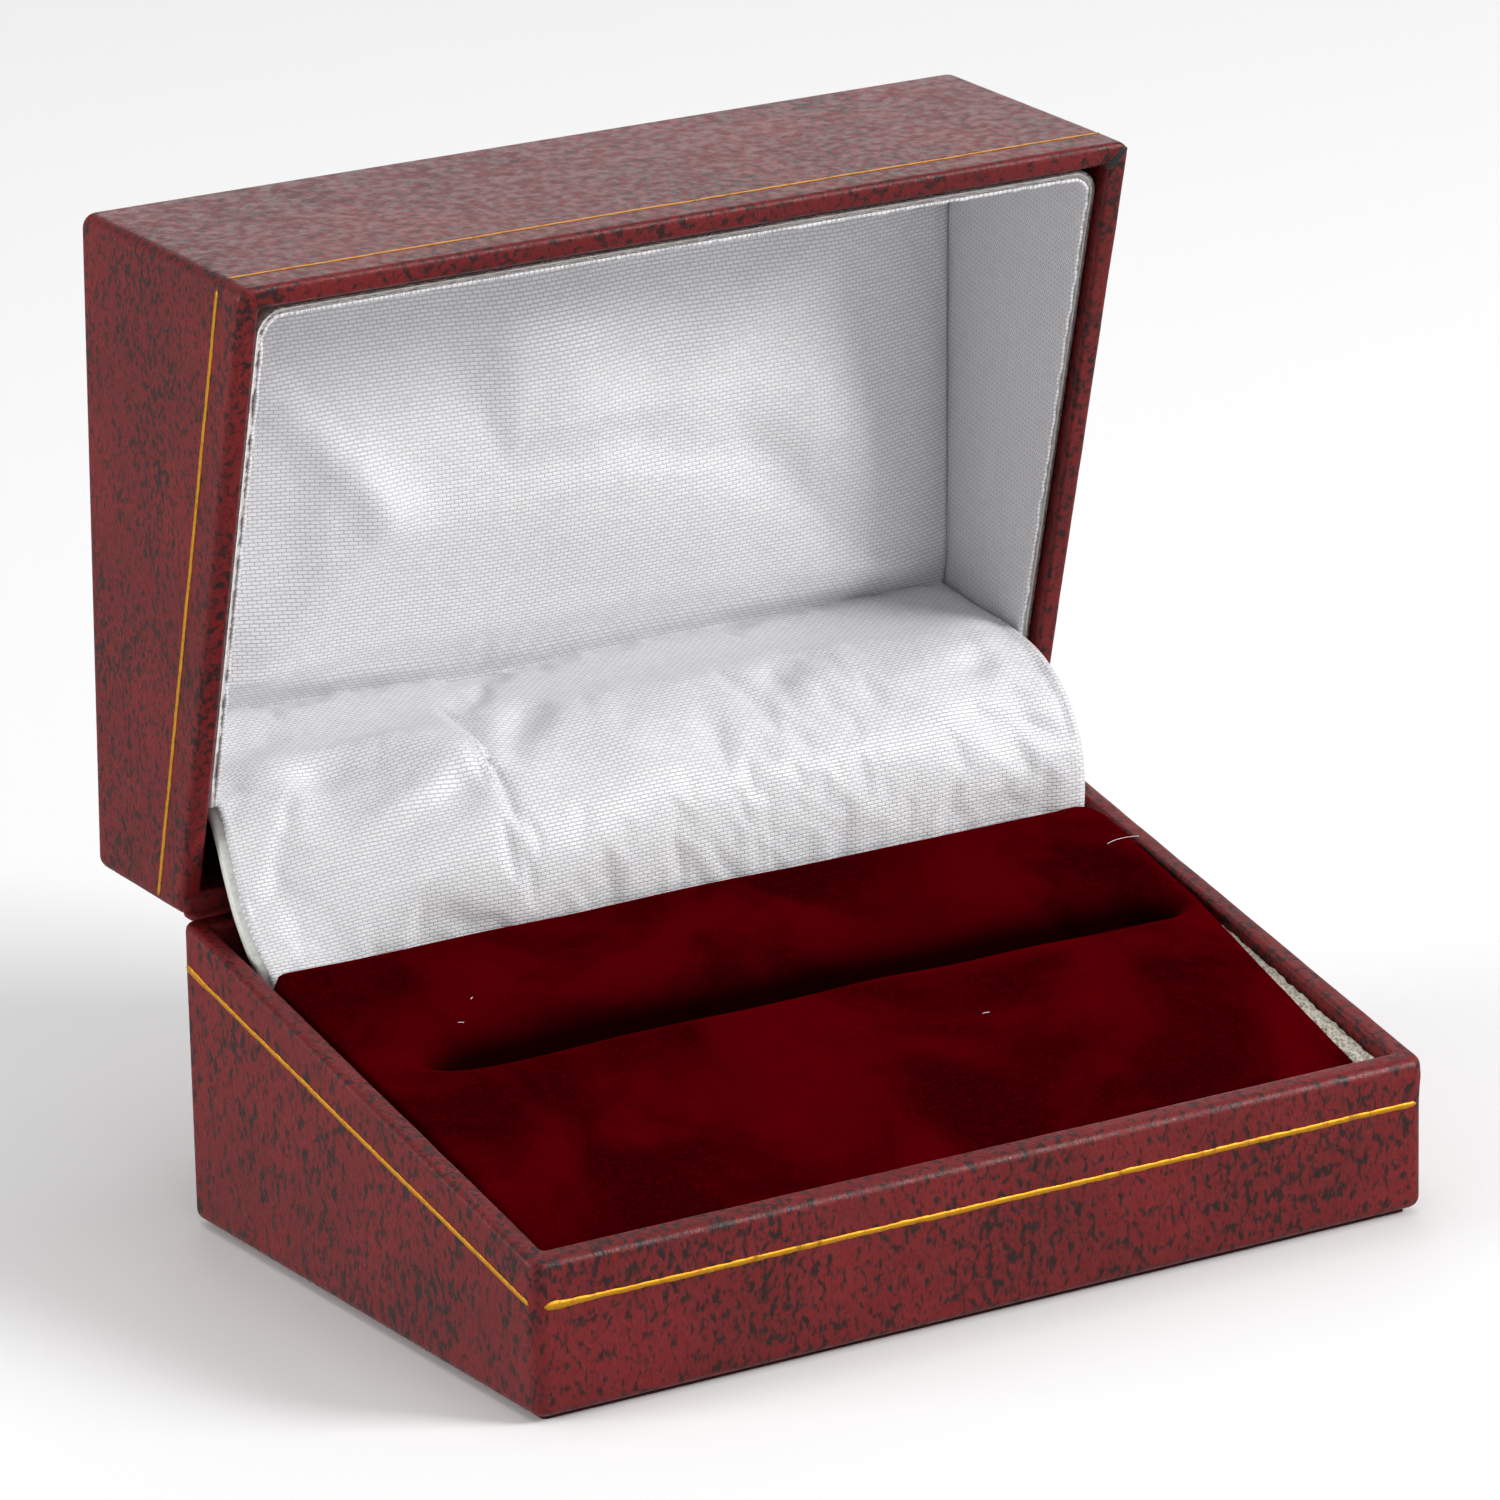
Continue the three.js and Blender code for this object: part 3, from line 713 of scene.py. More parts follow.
def swell(bm, pressure, slack, cap):
    """Puffs a sheet held round its border by cloth simulation, at thirty times its size, where the
    solver is steady, and caps how far a point may move."""
    scale, frames, stiffness = 30.0, 18, 15.0
    held = [v.index for v in bm.verts if v.is_boundary]
    mesh = bpy.data.meshes.new("cloth")
    bm.verts.index_update()
    bm.to_mesh(mesh)
    mesh.transform(Matrix.Scale(scale, 4))
    obj = bpy.data.objects.new("cloth", mesh)
    scene = bpy.context.scene
    scene.collection.objects.link(obj)
    group = obj.vertex_groups.new(name="held")
    group.add(held, 1.0, "REPLACE")
    modifier = obj.modifiers.new("Cloth", "CLOTH")
    cloth = modifier.settings
    cloth.quality = 6
    cloth.mass = 0.3
    cloth.vertex_group_mass = "held"
    cloth.tension_stiffness = stiffness
    cloth.compression_stiffness = stiffness
    cloth.shear_stiffness = stiffness / 3
    cloth.bending_stiffness = 0.4
    cloth.use_pressure = True
    cloth.uniform_pressure_force = pressure
    cloth.shrink_min = -slack
    cloth.effector_weights.gravity = 0
    modifier.point_cache.frame_start = 1
    modifier.point_cache.frame_end = frames
    for number in range(1, frames + 1):
        scene.frame_set(number)
    settled = obj.evaluated_get(bpy.context.evaluated_depsgraph_get())
    places = [v.co / scale for v in settled.data.vertices]
    for vert, place in zip(bm.verts, places):
        move = place - vert.co
        if move.length > cap:
            move *= cap / move.length
        vert.co += move
    scene.frame_set(1)
    bpy.data.objects.remove(obj)
    bpy.data.meshes.remove(mesh)
    bm.normal_update()


# Ring cushion


def velvet_height(x, y):
    """Height of the velvet at a place, with its crown, its rolled edges and the slot."""
    chosen = settings().cushion
    front, back = PAD_LOW.y, PAD_HIGH.y
    share = (y - front) / (back - front)
    at_front = parting_height(front) - chosen.front_drop
    at_back = parting_height(back) + chosen.back_rise
    height = at_front + share * (at_back - at_front)
    half = PAD_HIGH.x
    across = 1 - abs(x / half) ** 6
    height += chosen.crown * across * math.sin(math.pi * min(max(share, 0), 1))
    slot_y = slot_middle(x)
    swell_by_slot = 0.35 * MM * bump_at(y, slot_y - 5 * MM, 3 * MM) * slot_reach(x)
    height += swell_by_slot - chosen.slot_depth * slot_share(x, y)
    height += 0.16 * MM * noise.noise(Vector((x, y, 0)) / (11 * MM))
    # A dimple where the pad is pushed in at its back left.
    height -= 0.7 * MM * bump_at(x, -33 * MM, 4 * MM) * bump_at(y, 11.5 * MM, 3 * MM)
    return height


def slot_reach(x):
    """How far the slot is open at a place along it, from none to 1: it closes towards its ends."""
    chosen = settings().cushion
    opened = smooth_step(chosen.slot_left - 4 * MM, chosen.slot_left + 5 * MM, x)
    return opened * (1 - smooth_step(chosen.slot_right - 3 * MM, chosen.slot_right + 1.2 * MM, x))


def slot_share(x, y):
    """Share of the slot's depth at a place; the back slope is longer than the front one."""
    away = y - slot_middle(x)
    roll = settings().cushion.slot_roll * (1.35 if away > 0 else 0.8)
    steep = math.exp(-((abs(away) / (roll * 0.42)) ** 1.25))
    gentle = math.exp(-abs(away) / (5.0 * MM if away > 0 else 1.2 * MM))
    return (0.76 * steep + 0.24 * gentle) * slot_reach(x)


def slot_middle(x):
    """Place of the slot from front to back, with a slight sag along its length."""
    return 1.0 * MM + 0.5 * MM * math.cos(x / HALF_WIDTH * 1.4) + 0.25 * MM * noise.noise(
        Vector((x / (9 * MM), 4.2, 0))
    )


def velvet_right_edge(y):
    """Where the velvet ends on the right: it draws in from the wall towards the front."""
    slot_y = slot_middle(HALF_WIDTH)
    forward = min(max((slot_y - y) / (slot_y - PAD_LOW.y), 0), 1)
    wavy = 0.1 * MM * noise.noise(Vector((y / (3 * MM), 1.7, 0)))
    near_back = max(y - (PAD_HIGH.y - 3 * MM), 0)
    rounded = 3 * MM - math.sqrt(max((3 * MM) ** 2 - near_back**2, 0))
    return PAD_HIGH.x - forward**0.8 * 1.8 * MM + wavy * forward - rounded


def ring_cushion_sheet():
    """Velvet over the ring cushion: rows crowd towards the slot, and the edges roll down."""
    front, back = PAD_LOW.y, PAD_HIGH.y
    left = PAD_LOW.x
    edge_roll = 1.0 * MM

    def place(u, v):
        middle = 1.2 * MM
        split = (middle - front) / (back - front)
        if v < split:
            y = middle - (middle - front) * (1 - v / split) ** 1.5
        else:
            y = middle + (back - middle) * ((v - split) / (1 - split)) ** 1.5
        right = velvet_right_edge(y)
        x = left + u * (right - left)
        z = velvet_height(x, y)
        for gap in (x - left, right - x, y - front, back - y):
            if gap < edge_roll:
                z -= edge_roll - math.sqrt(max(edge_roll**2 - (edge_roll - gap) ** 2, 0))
        return Vector((x, y, z))

    bm = cloth_grid(190, 130, 81.4 * MM, 60 * MM, place)
    # Each point keeps its share of the slot's depth, which the velvet uses for its painted shade in the slot.
    layer = bm.verts.layers.float.new("slot_depth")
    for vert in bm.verts:
        vert[layer] = slot_share(vert.co.x, vert.co.y)
    return bm


def closed_below(bm, drop):
    """Turns a sheet's border down into an apron and closes it underneath."""
    border = [e for e in bm.edges if e.is_boundary]
    for _ in range(2):
        edges, verts = extruded(bm, border)
        for vert in verts:
            vert.co += drop / 2
        border = [edge for edge in edges if edge.is_boundary]
    bmesh.ops.contextual_create(bm, geom=border)
    bmesh.ops.recalc_face_normals(bm, faces=bm.faces)


def foam_block():
    """Cut foam of the cushion, with a torn edge that shows past the velvet on the right."""
    front, back = PAD_LOW.y + 0.9 * MM, PAD_HIGH.y - 0.9 * MM

    def place(u, v):
        y = front + v * (back - front)
        right = PAD_HIGH.x + 0.18 * MM * noise.noise(Vector((y / (1.3 * MM), 8.8, 0)))
        x = 30 * MM + u * (right - 30 * MM)
        torn = 0.22 * MM * noise.noise(Vector((x, y, 0)) / (0.7 * MM))
        share = (y - PAD_LOW.y) / (PAD_HIGH.y - PAD_LOW.y)
        top = parting_height(y) - 1.5 * MM * (1 - share) - 0.75 * MM
        slot = 5 * MM * bump_at(y, slot_middle(x), 1.5 * MM)
        tuck = 0.9 * MM * smooth_step(0.5 * MM, -1 * MM, velvet_right_edge(y) - x)
        under = 1.6 * MM * smooth_step(-0.2 * MM, 1.4 * MM, velvet_right_edge(y) - x)
        return Vector((x, y, top + torn + tuck * 0.5 - slot - under))

    return cloth_grid(60, 150, 11 * MM, 42 * MM, place)


# Lid satin


def board_height():
    """Height in the closed box of the lid pad board's face."""
    corner = Matrix.Rotation(OPEN, 3, "X") @ (Vector((0, BOARD_LOW.y, BOARD_LOW.z)) - HINGE)
    return HINGE.z + corner.z


def fold_place():
    """Where pad and hinge cover meet, in the closed box: y and z."""
    open_fold = Vector((0, COVER_HIGH.y, COVER_HIGH.z)) - HINGE
    closed = Matrix.Rotation(OPEN, 3, "X") @ open_fold
    return HINGE.y + closed.y, HINGE.z + closed.z


def least(values, roll):
    """The least of several heights, with the creases where they meet rounded."""
    return -roll * math.log(sum(math.exp(-value / roll) for value in values))


def along_line(x, y, line):
    """Height at a place of a soft fold: line is its two ends, its spread and its height, in millimetres."""
    x0, y0, x1, y1, spread, height = line
    dx, dy = x1 - x0, y1 - y0
    length = math.hypot(dx, dy)
    share = ((x - x0) * dx + (y - y0) * dy) / length**2
    away = abs((x - x0) * dy - (y - y0) * dx) / length
    ends = smooth_step(-0.25, 0.15, share) * (1 - smooth_step(0.75, 1.2, share))
    return height * math.exp(-((away / spread) ** 2)) * ends


# Soft folds of the lid's pad, which run in from its corners and its front edge.
PAD_FOLDS = (
    (29, -19, 9, -9, 3.0, 0.8),
    (16, -2, 31, 12, 2.6, -0.8),
    (-19, -1, -33, 12, 2.2, 0.8),
    (-19, -1, -34, -18, 2.2, 0.85),
    (-27, -1, -36, -2, 5.0, -0.6),
    (-2, 4, 16, 7, 4.0, 0.35),
    (4, -4, 17, 1, 2.2, -0.35),
)
# The loose satin stands up past a line that fans out from this place, in millimetres.
FAN = (-7.4, -2.4)


def fan_height(x, y):
    """Height of the fan of slack satin towards the lid's front edge, at a place in millimetres."""
    dx, dy = x - FAN[0], FAN[1] - y
    reach = math.hypot(dx, dy)
    turned = math.degrees(math.atan2(dx, dy))  # from straight to the front, turning to the right
    rise = smooth_step(-30, 8, turned) * (1 - smooth_step(35, 85, turned))
    return 1.9 * smooth_step(0, 11, reach) * rise * (1 - smooth_step(10, 22, reach))


def lid_pad_sheet():
    """Satin over the lid's pad, drawn closed and looking down: four slopes that rise from its border to
    a ridge, creased from its corners, and swelled by the wadding."""
    chosen = settings().satin
    half = COVER_HIGH.x + 0.25 * MM
    front = FRONT + 3.4 * MM
    back, fold_z = fold_place()
    board = board_height()
    ridge = chosen.pad_puff
    tuck = 1.2 * MM

    def fold_at(u):
        return back - fold_rise(u)

    def place(u, v):
        x = -half + 2 * half * u
        y = front + (fold_at(u) + tuck - front) * v
        rise = (
            (x + half) / (17 * MM),
            (half - x) / (15 * MM),
            (y - front) / (21 * MM),
            0.3 + (back - y) / (26 * MM),
            1.0,
        )
        height = 0.45 * MM + (ridge - 0.45 * MM) * max(least(rise, 0.05), 0)
        edge = min(x + half, half - x, y - front) / (2.5 * MM)
        height = 0.4 * MM + (height - 0.4 * MM) * math.sqrt(min(max(edge, 0), 1))
        height += (board - fold_z - height) * smooth_step(fold_at(u) - 3.5 * MM, fold_at(u), y)
        return Vector((x, y, board - height))

    bm = cloth_grid(150, 84, 2 * half, back - front, place)
    face_towards(bm, Vector((0, 0, -1)))
    swell(bm, 0.4, 0.002, 0.4 * MM)
    for vert in bm.verts:
        x, y = vert.co.x / MM, vert.co.y / MM
        folds = fan_height(x, y) + sum(along_line(x, y, line) for line in PAD_FOLDS)
        clear = min(half / MM - abs(x), y - front / MM, (back / MM - 1) - y)
        vert.co.z -= folds * smooth_step(0, 4, clear) * MM
    bm.normal_update()
    return bm


def fold_rise(u):
    """How much further up the lid the fold over the hinge cover lies at a share of the width."""
    return (1.35 * (1 - u) ** 1.5 - 0.75 * bump_at(u, 0.4, 0.16)) * MM


def spline(points, share):
    """A place on a smooth curve through points, at a share of its length."""
    lengths = [0.0]
    for before, after in zip(points, points[1:]):
        lengths.append(lengths[-1] + (after - before).length)
    reach = share * lengths[-1]
    index = min(max(sum(1 for length in lengths[1:-1] if length <= reach), 0), len(points) - 2)
    t = (reach - lengths[index]) / (lengths[index + 1] - lengths[index])
    p1, p2 = points[index], points[index + 1]
    p0 = points[index - 1] if index else p1 * 2 - p2
    p3 = points[index + 2] if index + 2 < len(points) else p2 * 2 - p1
    return 0.5 * (
        2 * p1 + (p2 - p0) * t + (2 * p0 - 5 * p1 + 4 * p2 - p3) * t**2 + (3 * p1 - p0 - 3 * p2 + p3) * t**3
    )


# The hinge cover seen from its side with the lid open: from the fold, over the hinge and down behind the
# ring cushion, in millimetres from the hinge line. Its right end and middle stand out round, and its left
# end has sunk in.
COVER_RIGHT = (
    (12.0, 12.7),
    (10.34, 12.66),
    (6.5, 12.1),
    (2.5, 11.6),
    (-1.5, 11.0),
    (-5.2, 9.7),
    (-8.2, 7.4),
    (-10.2, 4.4),
    (-11.1, 1.2),
    (-11.15, -2.0),
    (-10.6, -5.0),
)
COVER_LEFT = (
    (12.0, 12.7),
    (10.34, 12.66),
    (6.5, 11.6),
    (2.5, 10.6),
    (-1.0, 9.5),
    (-3.0, 7.2),
    (-4.6, 4.4),
    (-6.4, 1.4),
    (-8.5, -1.2),
    (-10.2, -2.9),
    (-10.6, -5.4),
)


def cover_place(u, v, depth=0.0):
    """A place on the hinge cover, at a depth under its face."""
    side = smooth_step(0.0, 0.3, u)
    ends = [Vector((0, y * MM, z * MM)) for y, z in COVER_LEFT]
    middle = [Vector((0, y * MM, z * MM)) for y, z in COVER_RIGHT]
    points = [a.lerp(b, side) for a, b in zip(ends, middle)]
    for point, share in zip(points, (1.0, 1.0, 0.6, 0.2)):
        point.z += fold_rise(u) * share
    place = spline(points, v)
    if depth:
        along = spline(points, min(v + 0.01, 1)) - spline(points, max(v - 0.01, 0))
        outwards = Vector((0, along.z, -along.y)).normalized()
        place -= outwards * depth
    low = smooth_step(0.25, 0.75, v)
    stand_out = 0.3 * MM if depth else 0.0
    left = -COVER_HIGH.x - 0.7 * MM * low - stand_out
    right = COVER_HIGH.x + 0.6 * MM * low + stand_out
    place.x = left + (right - left) * u
    return HINGE + place


COVER_LENGTH = 35.6 * MM


def hinge_cover_sheet(columns, rows):
    """Satin of the hinge cover with the lid open, smooth."""
    bm = cloth_grid(columns, rows, 2 * COVER_HIGH.x, COVER_LENGTH, cover_place)
    face_towards(bm, Vector((0, -1, 1)))
    return bm


# Tucks and puffs of the hinge cover: place along the hinge, and down the cloth from the fold, spread along
# and down, lean of the tuck, and depth, all in millimetres but the lean.
COVER_TUCKS = (
    (-37.5, 13.3, 1.6, 1.3, 0.0, 0.55),
    (-29.5, 15.2, 3.0, 1.5, 0.1, 0.95),
    (-22.5, 13.6, 3.4, 1.6, 0.1, -0.55),
    (-18.0, 16.6, 3.4, 2.0, 0.2, -0.75),
    (-10.5, 14.2, 3.2, 2.2, -0.75, 0.85),
    (-19.5, 20.6, 2.0, 1.6, -0.6, 0.75),
    (-26.5, 24.0, 5.5, 1.8, -0.55, 0.75),
    (-24.0, 19.6, 3.6, 1.2, -0.4, -0.45),
    (-34.5, 19.5, 3.5, 2.2, -0.3, -0.35),
    (-2.0, 19.5, 3.0, 2.4, 0.2, -0.3),
    (5.4, 19.6, 1.5, 2.0, -0.3, 0.45),
    (14.5, 14.6, 3.0, 2.0, -0.45, 0.75),
    (22.0, 17.5, 5.0, 2.4, 0.1, -0.35),
    (32.6, 18.0, 1.8, 1.2, -0.2, 0.5),
    (33.5, 24.5, 5.0, 1.3, 0.42, 0.7),
    (27.0, 21.5, 4.5, 1.6, 0.35, -0.3),
)


def folded_wrinkles(bm, half):
    """Puffs and tucks along the hinge cover's crest."""
    layer = bm.loops.layers.uv["cloth"]
    where = {}
    for face in bm.faces:
        for loop in face.loops:
            where[loop.vert] = loop[layer].uv.copy()
    bm.normal_update()
    moves = {}
    for vert, (u, v) in where.items():
        x, down = (u - half) / MM, v / MM
        edge = smooth_step(0, 2.5, half / MM - abs(x)) * smooth_step(1, 6, down)
        puff = 0.55 * bump_at(down, 14.5, 4.5) * smooth_step(0, 6, half / MM - abs(x))
        puff += 0.22 * noise.noise(Vector((x / 6, down / 4.5, 2.0))) * bump_at(down, 16, 8)
        for middle, depth, wide, tall, lean, deep in COVER_TUCKS:
            across = (x - middle) / wide
            off = (down - depth - lean * (x - middle)) / tall
            puff -= deep * math.exp(-(across**2) - off**2)
        if puff < 0:  # no deeper than the card behind
            puff = 0.6 * math.tanh(puff / 0.6)
        moves[vert] = vert.normal * puff * edge * MM
    for vert, move in moves.items():
        vert.co += move
    bm.normal_update()


def collar_layer(inset, rough):
    """A layer of the lid's collar along its front and two sides, drawn closed. A rough layer has its cut
    edge frayed."""
    half = COLLAR_HIGH.x - inset
    front = FRONT + (HALF_WIDTH - COLLAR_HIGH.x) + inset
    back = HINGE.y - 9.5 * MM
    recess = 1.25 * MM
    bm = rounded_block(half, front, BACK, 0, board_height() + 0.7 * MM, 2.5 * MM - inset, 8)
    edge = Vector((0, HINGE.y, HINGE.z)) + CUT * recess
    cut_off(bm, edge, -CUT)
    cut_off(bm, (0, back, 0), (0, 1, 0))
    level = [f for f in bm.faces if f.normal.z > 0.9]
    bmesh.ops.delete(bm, geom=level, context="FACES")
    if rough:
        split_at(bm, edge + CUT * 0.5 * MM, CUT)
        divide_long(bm, Vector((1, 0, 0)), 0.4 * MM)
        divide_long(bm, Vector((0, 1, 0)), 0.4 * MM)
    else:
        divide_long(bm, Vector((1, 0, 0)), 2 * MM)
        divide_long(bm, Vector((0, 1, 0)), 2 * MM)
    layer = bm.loops.layers.uv.new("cloth")
    bm.normal_update()
    for face in bm.faces:
        for loop in face.loops:
            co = loop.vert.co
            loop[layer].uv = (co.y + 0.1, co.z) if abs(face.normal.x) > 0.7 else (co.x, co.z)
    if rough:
        for vert in bm.verts:
            if abs((vert.co - edge).dot(CUT)) < 0.05 * MM:
                fray = noise.noise(vert.co / (0.9 * MM)) * 0.2 + noise.noise(vert.co / (0.35 * MM)) * 0.12
                vert.co += CUT * (fray - 0.05) * MM
    bmesh.ops.reverse_faces(bm, faces=bm.faces)
    turn_open(bm)
    return bm


def thread(points, radius):
    """A loose thread as a thin tube through points."""
    bm = bmesh.new()
    ring = bmesh.ops.create_circle(bm, segments=5, radius=radius, cap_ends=True)["verts"]
    along = (points[1] - points[0]).normalized()
    turn = along.to_track_quat("Z", "Y").to_matrix()
    bmesh.ops.rotate(bm, cent=(0, 0, 0), matrix=turn, verts=ring)
    bmesh.ops.translate(bm, vec=points[0], verts=ring)
    face = bm.faces[:][0]
    for before, after in zip(points, points[1:]):
        made = bmesh.ops.extrude_face_region(bm, geom=[face])["geom"]
        verts = [g for g in made if isinstance(g, bmesh.types.BMVert)]
        old = face
        face = next(g for g in made if isinstance(g, bmesh.types.BMFace))
        bmesh.ops.translate(bm, vec=after - before, verts=verts)
        if old.is_valid and old is not face and len(bm.faces) > 8:
            bmesh.ops.delete(bm, geom=[old], context="FACES_ONLY")
    bmesh.ops.recalc_face_normals(bm, faces=bm.faces)
    return bm


def curl(start, direction, length, bend, count=9):
    """Points of a short curling thread."""
    points, place, way = [], Vector(start), Vector(direction).normalized()
    for _ in range(count):
        points.append(place.copy())
        place += way * length / (count - 1)
        way = (way + Vector(bend) / (count - 1)).normalized()
    return points


# Studio

# Lights: name, place, size in metres and power in watts. Each one faces the middle of the box.
LIGHTS = (
    ("overhead", (0.0, 0.1, 1.1), 0.8, 2.6),
    ("right_key", (0.85, -0.75, 0.65), 0.5, 14.0),
    ("left_fill", (-1.1, 0.3, 0.35), 0.5, 7.0),
    ("back_glow", (0.72, 1.2, 0.5), 0.7, 2.1),
)
# The camera stands in front of the box and to its left, and looks down at it.
CAMERA_PLACE = (-0.37875, -0.61509, 0.26466)
CAMERA_RIGHT = (0.85067, -0.52527, -0.02142)
CAMERA_UP = (0.17278, 0.24087, 0.95505)
CAMERA_BACK = (-0.4965, -0.81613, 0.29565)
LENS, SENSOR = 219.9, 36  # in millimetres


# Operators


class RINGBOX_OT_paper_covers(bpy.types.Operator):
    """Wraps both halves in leatherette paper"""

    bl_idname = "ringbox.paper_covers"
    bl_label = "Paper Covers"

    def execute(self, context):
        base = thicken(piece("base_cover", paper_cover("base")), settings().cover.paper)
        covering = leatherette("Leatherette paper", (1.2, 1.2, 0.75), 0.4)
        finish(base, covering, "base", "leatherette", "base_wrap")
        bm = paper_cover("lid")
        turn_open(bm)
        lid = thicken(piece("lid_cover", bm), settings().cover.paper)
        covering = leatherette("Leatherette paper of the lid", (1.1, 1.6, 1.0))
        finish(lid, covering, "lid", "leatherette", "lid_wrap")
        return {"FINISHED"}


class RINGBOX_OT_core_corner(bpy.types.Operator):
    """Bares the lid's core where the paper parts at one corner of the rim"""

    bl_idname = "ringbox.core_corner"
    bl_label = "Bare Corner"

    def execute(self, context):
        middle = Vector((HALF_WIDTH - 1.38 * MM, FRONT + 1.38 * MM, 0))
        middle.z = parting_height(middle.y) + RIM_DROP
        for name, long, wide, tall, material, slot in (
            ("corner_gap", 1.3, 0.46, 0.18, moulded_plastic(), "core_plastic"),
            ("corner_lips", 1.3, 0.6, 0.1, leatherette("Torn leatherette paper", (1, 1, 1)), "leatherette"),
        ):
            bm = bmesh.new()
            bmesh.ops.create_uvsphere(bm, u_segments=32, v_segments=16, radius=MM)
            bmesh.ops.scale(bm, vec=(long, wide, tall), verts=bm.verts)
            turn = Matrix.Rotation(SLOPE, 3, "X") @ Matrix.Rotation(math.radians(-45), 3, "Z")
            bmesh.ops.rotate(bm, cent=(0, 0, 0), matrix=turn, verts=bm.verts)
            bmesh.ops.translate(bm, vec=middle, verts=bm.verts)
            turn_open(bm)
            finish(piece(name, bm), material, "lid", slot)
        return {"FINISHED"}


class RINGBOX_OT_hinge_paper(bpy.types.Operator):
    """Carries the covering paper across the hinge on both sides of its barrel"""

    bl_idname = "ringbox.hinge_paper"
    bl_label = "Hinge Paper"

    def execute(self, context):
        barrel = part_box("hinge_pin")[1].x + 0.4 * MM
        # The outer strip crosses the back; the inner one closes the corner between the two rims.
        for name, wide, long, toward in (("outside", 1.5, 2.0, 1), ("inside", 0.3, 1.5, -1)):
            strips = []
            for side in (-1, 1):
                edge = HALF_WIDTH - wide * MM

                def place(u, v):
                    reach = (v - 0.5) * 2 * long * MM
                    bend = math.hypot(reach, 0.3 * MM)
                    y = toward * 0.12 * MM + 0.5 * (toward * bend + reach)
                    z = -toward * 0.12 * MM + 0.5 * (reach - toward * bend)
                    x = side * (barrel + u * (edge - barrel))
                    return HINGE + Vector((x, y, z))

                strips.append(cloth_grid(24, 26, edge - barrel, 2 * long * MM, place))
            self.lay(name, strips, toward)
        return {"FINISHED"}

    def lay(self, name, strips, toward):
        """Joins the strips of one face of the joint and gives them their thickness."""
        bm = joined(strips)
        face_towards(bm, Vector((0, toward, -toward)))
        paper = piece(f"hinge_paper_{name}", bm)
        solidify(paper, 0.2 * MM)
        finish(paper, leatherette("Leatherette paper of the hinge", (1.3, 1, 1)), None, "leatherette")
        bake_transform(paper)


class RINGBOX_OT_gold_lines(bpy.types.Operator):
    """Stamps a gold line round each half"""

    bl_idname = "ringbox.gold_lines"
    bl_label = "Gold Lines"

    def execute(self, context):
        foil = gold_foil()
        for half in ("base", "lid"):
            bm = joined([foil_line(half, side) for side in ("front", "left", "right", "back")])
            if half == "lid":
                turn_open(bm)
            line = piece(f"{half}_gold_line", bm)
            solidify(line, 0.03 * MM, 0)
            finish(line, foil, half, "leatherette")
        return {"FINISHED"}


class RINGBOX_OT_hard_parts(bpy.types.Operator):
    """Finishes the moulded cores, the steel hinge, the cards and the underside"""

    bl_idname = "ringbox.hard_parts"
    bl_label = "Cores, Hinge and Cards"

    def execute(self, context):
        plastic, steel = moulded_plastic(), bright_steel()
        card = fibre_board("Grey board", "#b3aa99", "#8c8373")
        paper = fibre_board("Dark red pasted paper", "#431518", "#2c0f11")
        for name, obj in frame["nodes"].items():
            if name.endswith("_shell"):
                chosen = plastic
            elif name == "base_underside_sheet":
                chosen = paper
            elif name in ("ring_pad_riser", "lid_pad_board"):
                chosen = card
            elif any(word in name for word in ("leaf", "pin", "rivet", "spring")):
                chosen = steel
            else:
                continue
            obj.data.materials.clear()
            obj.data.materials.append(chosen)
        return {"FINISHED"}


class RINGBOX_OT_ring_cushion(bpy.types.Operator):
    """Makes the velvet ring cushion and its foam"""

    bl_idname = "ringbox.ring_cushion"
    bl_label = "Ring Cushion"

    def execute(self, context):
        bm = ring_cushion_sheet()
        face_towards(bm, Vector((0, 0, 1)))
        closed_below(bm, Vector((0, 0, -3 * MM)))
        cushion = piece("ring_cushion", bm)
        finish(cushion, velvet(), "base", "velvet", "ring_pad_velvet")
        bm = foam_block()
        face_towards(bm, Vector((0, 0, 1)))
        closed_below(bm, Vector((0, 0, -5 * MM)))
        foam = piece("cushion_foam", bm)
        finish(foam, cut_foam(), "base", "foam", "ring_pad_foam")
        return {"FINISHED"}


class RINGBOX_OT_lid_pad(bpy.types.Operator):
    """Makes the padded satin in the lid"""

    bl_idname = "ringbox.lid_pad"
    bl_label = "Lid Pad"

    def execute(self, context):
        bm = lid_pad_sheet()
        turn_open(bm)
        towards = Matrix.Rotation(-OPEN, 3, "X") @ Vector((0, 0, 1))
        closed_below(bm, towards * 0.4 * MM)
        pad = piece("lid_pad", bm)
        finish(pad, satin("Woven satin"), "lid", "satin", "lid_pad_satin", "lid_pad_wadding")
        return {"FINISHED"}


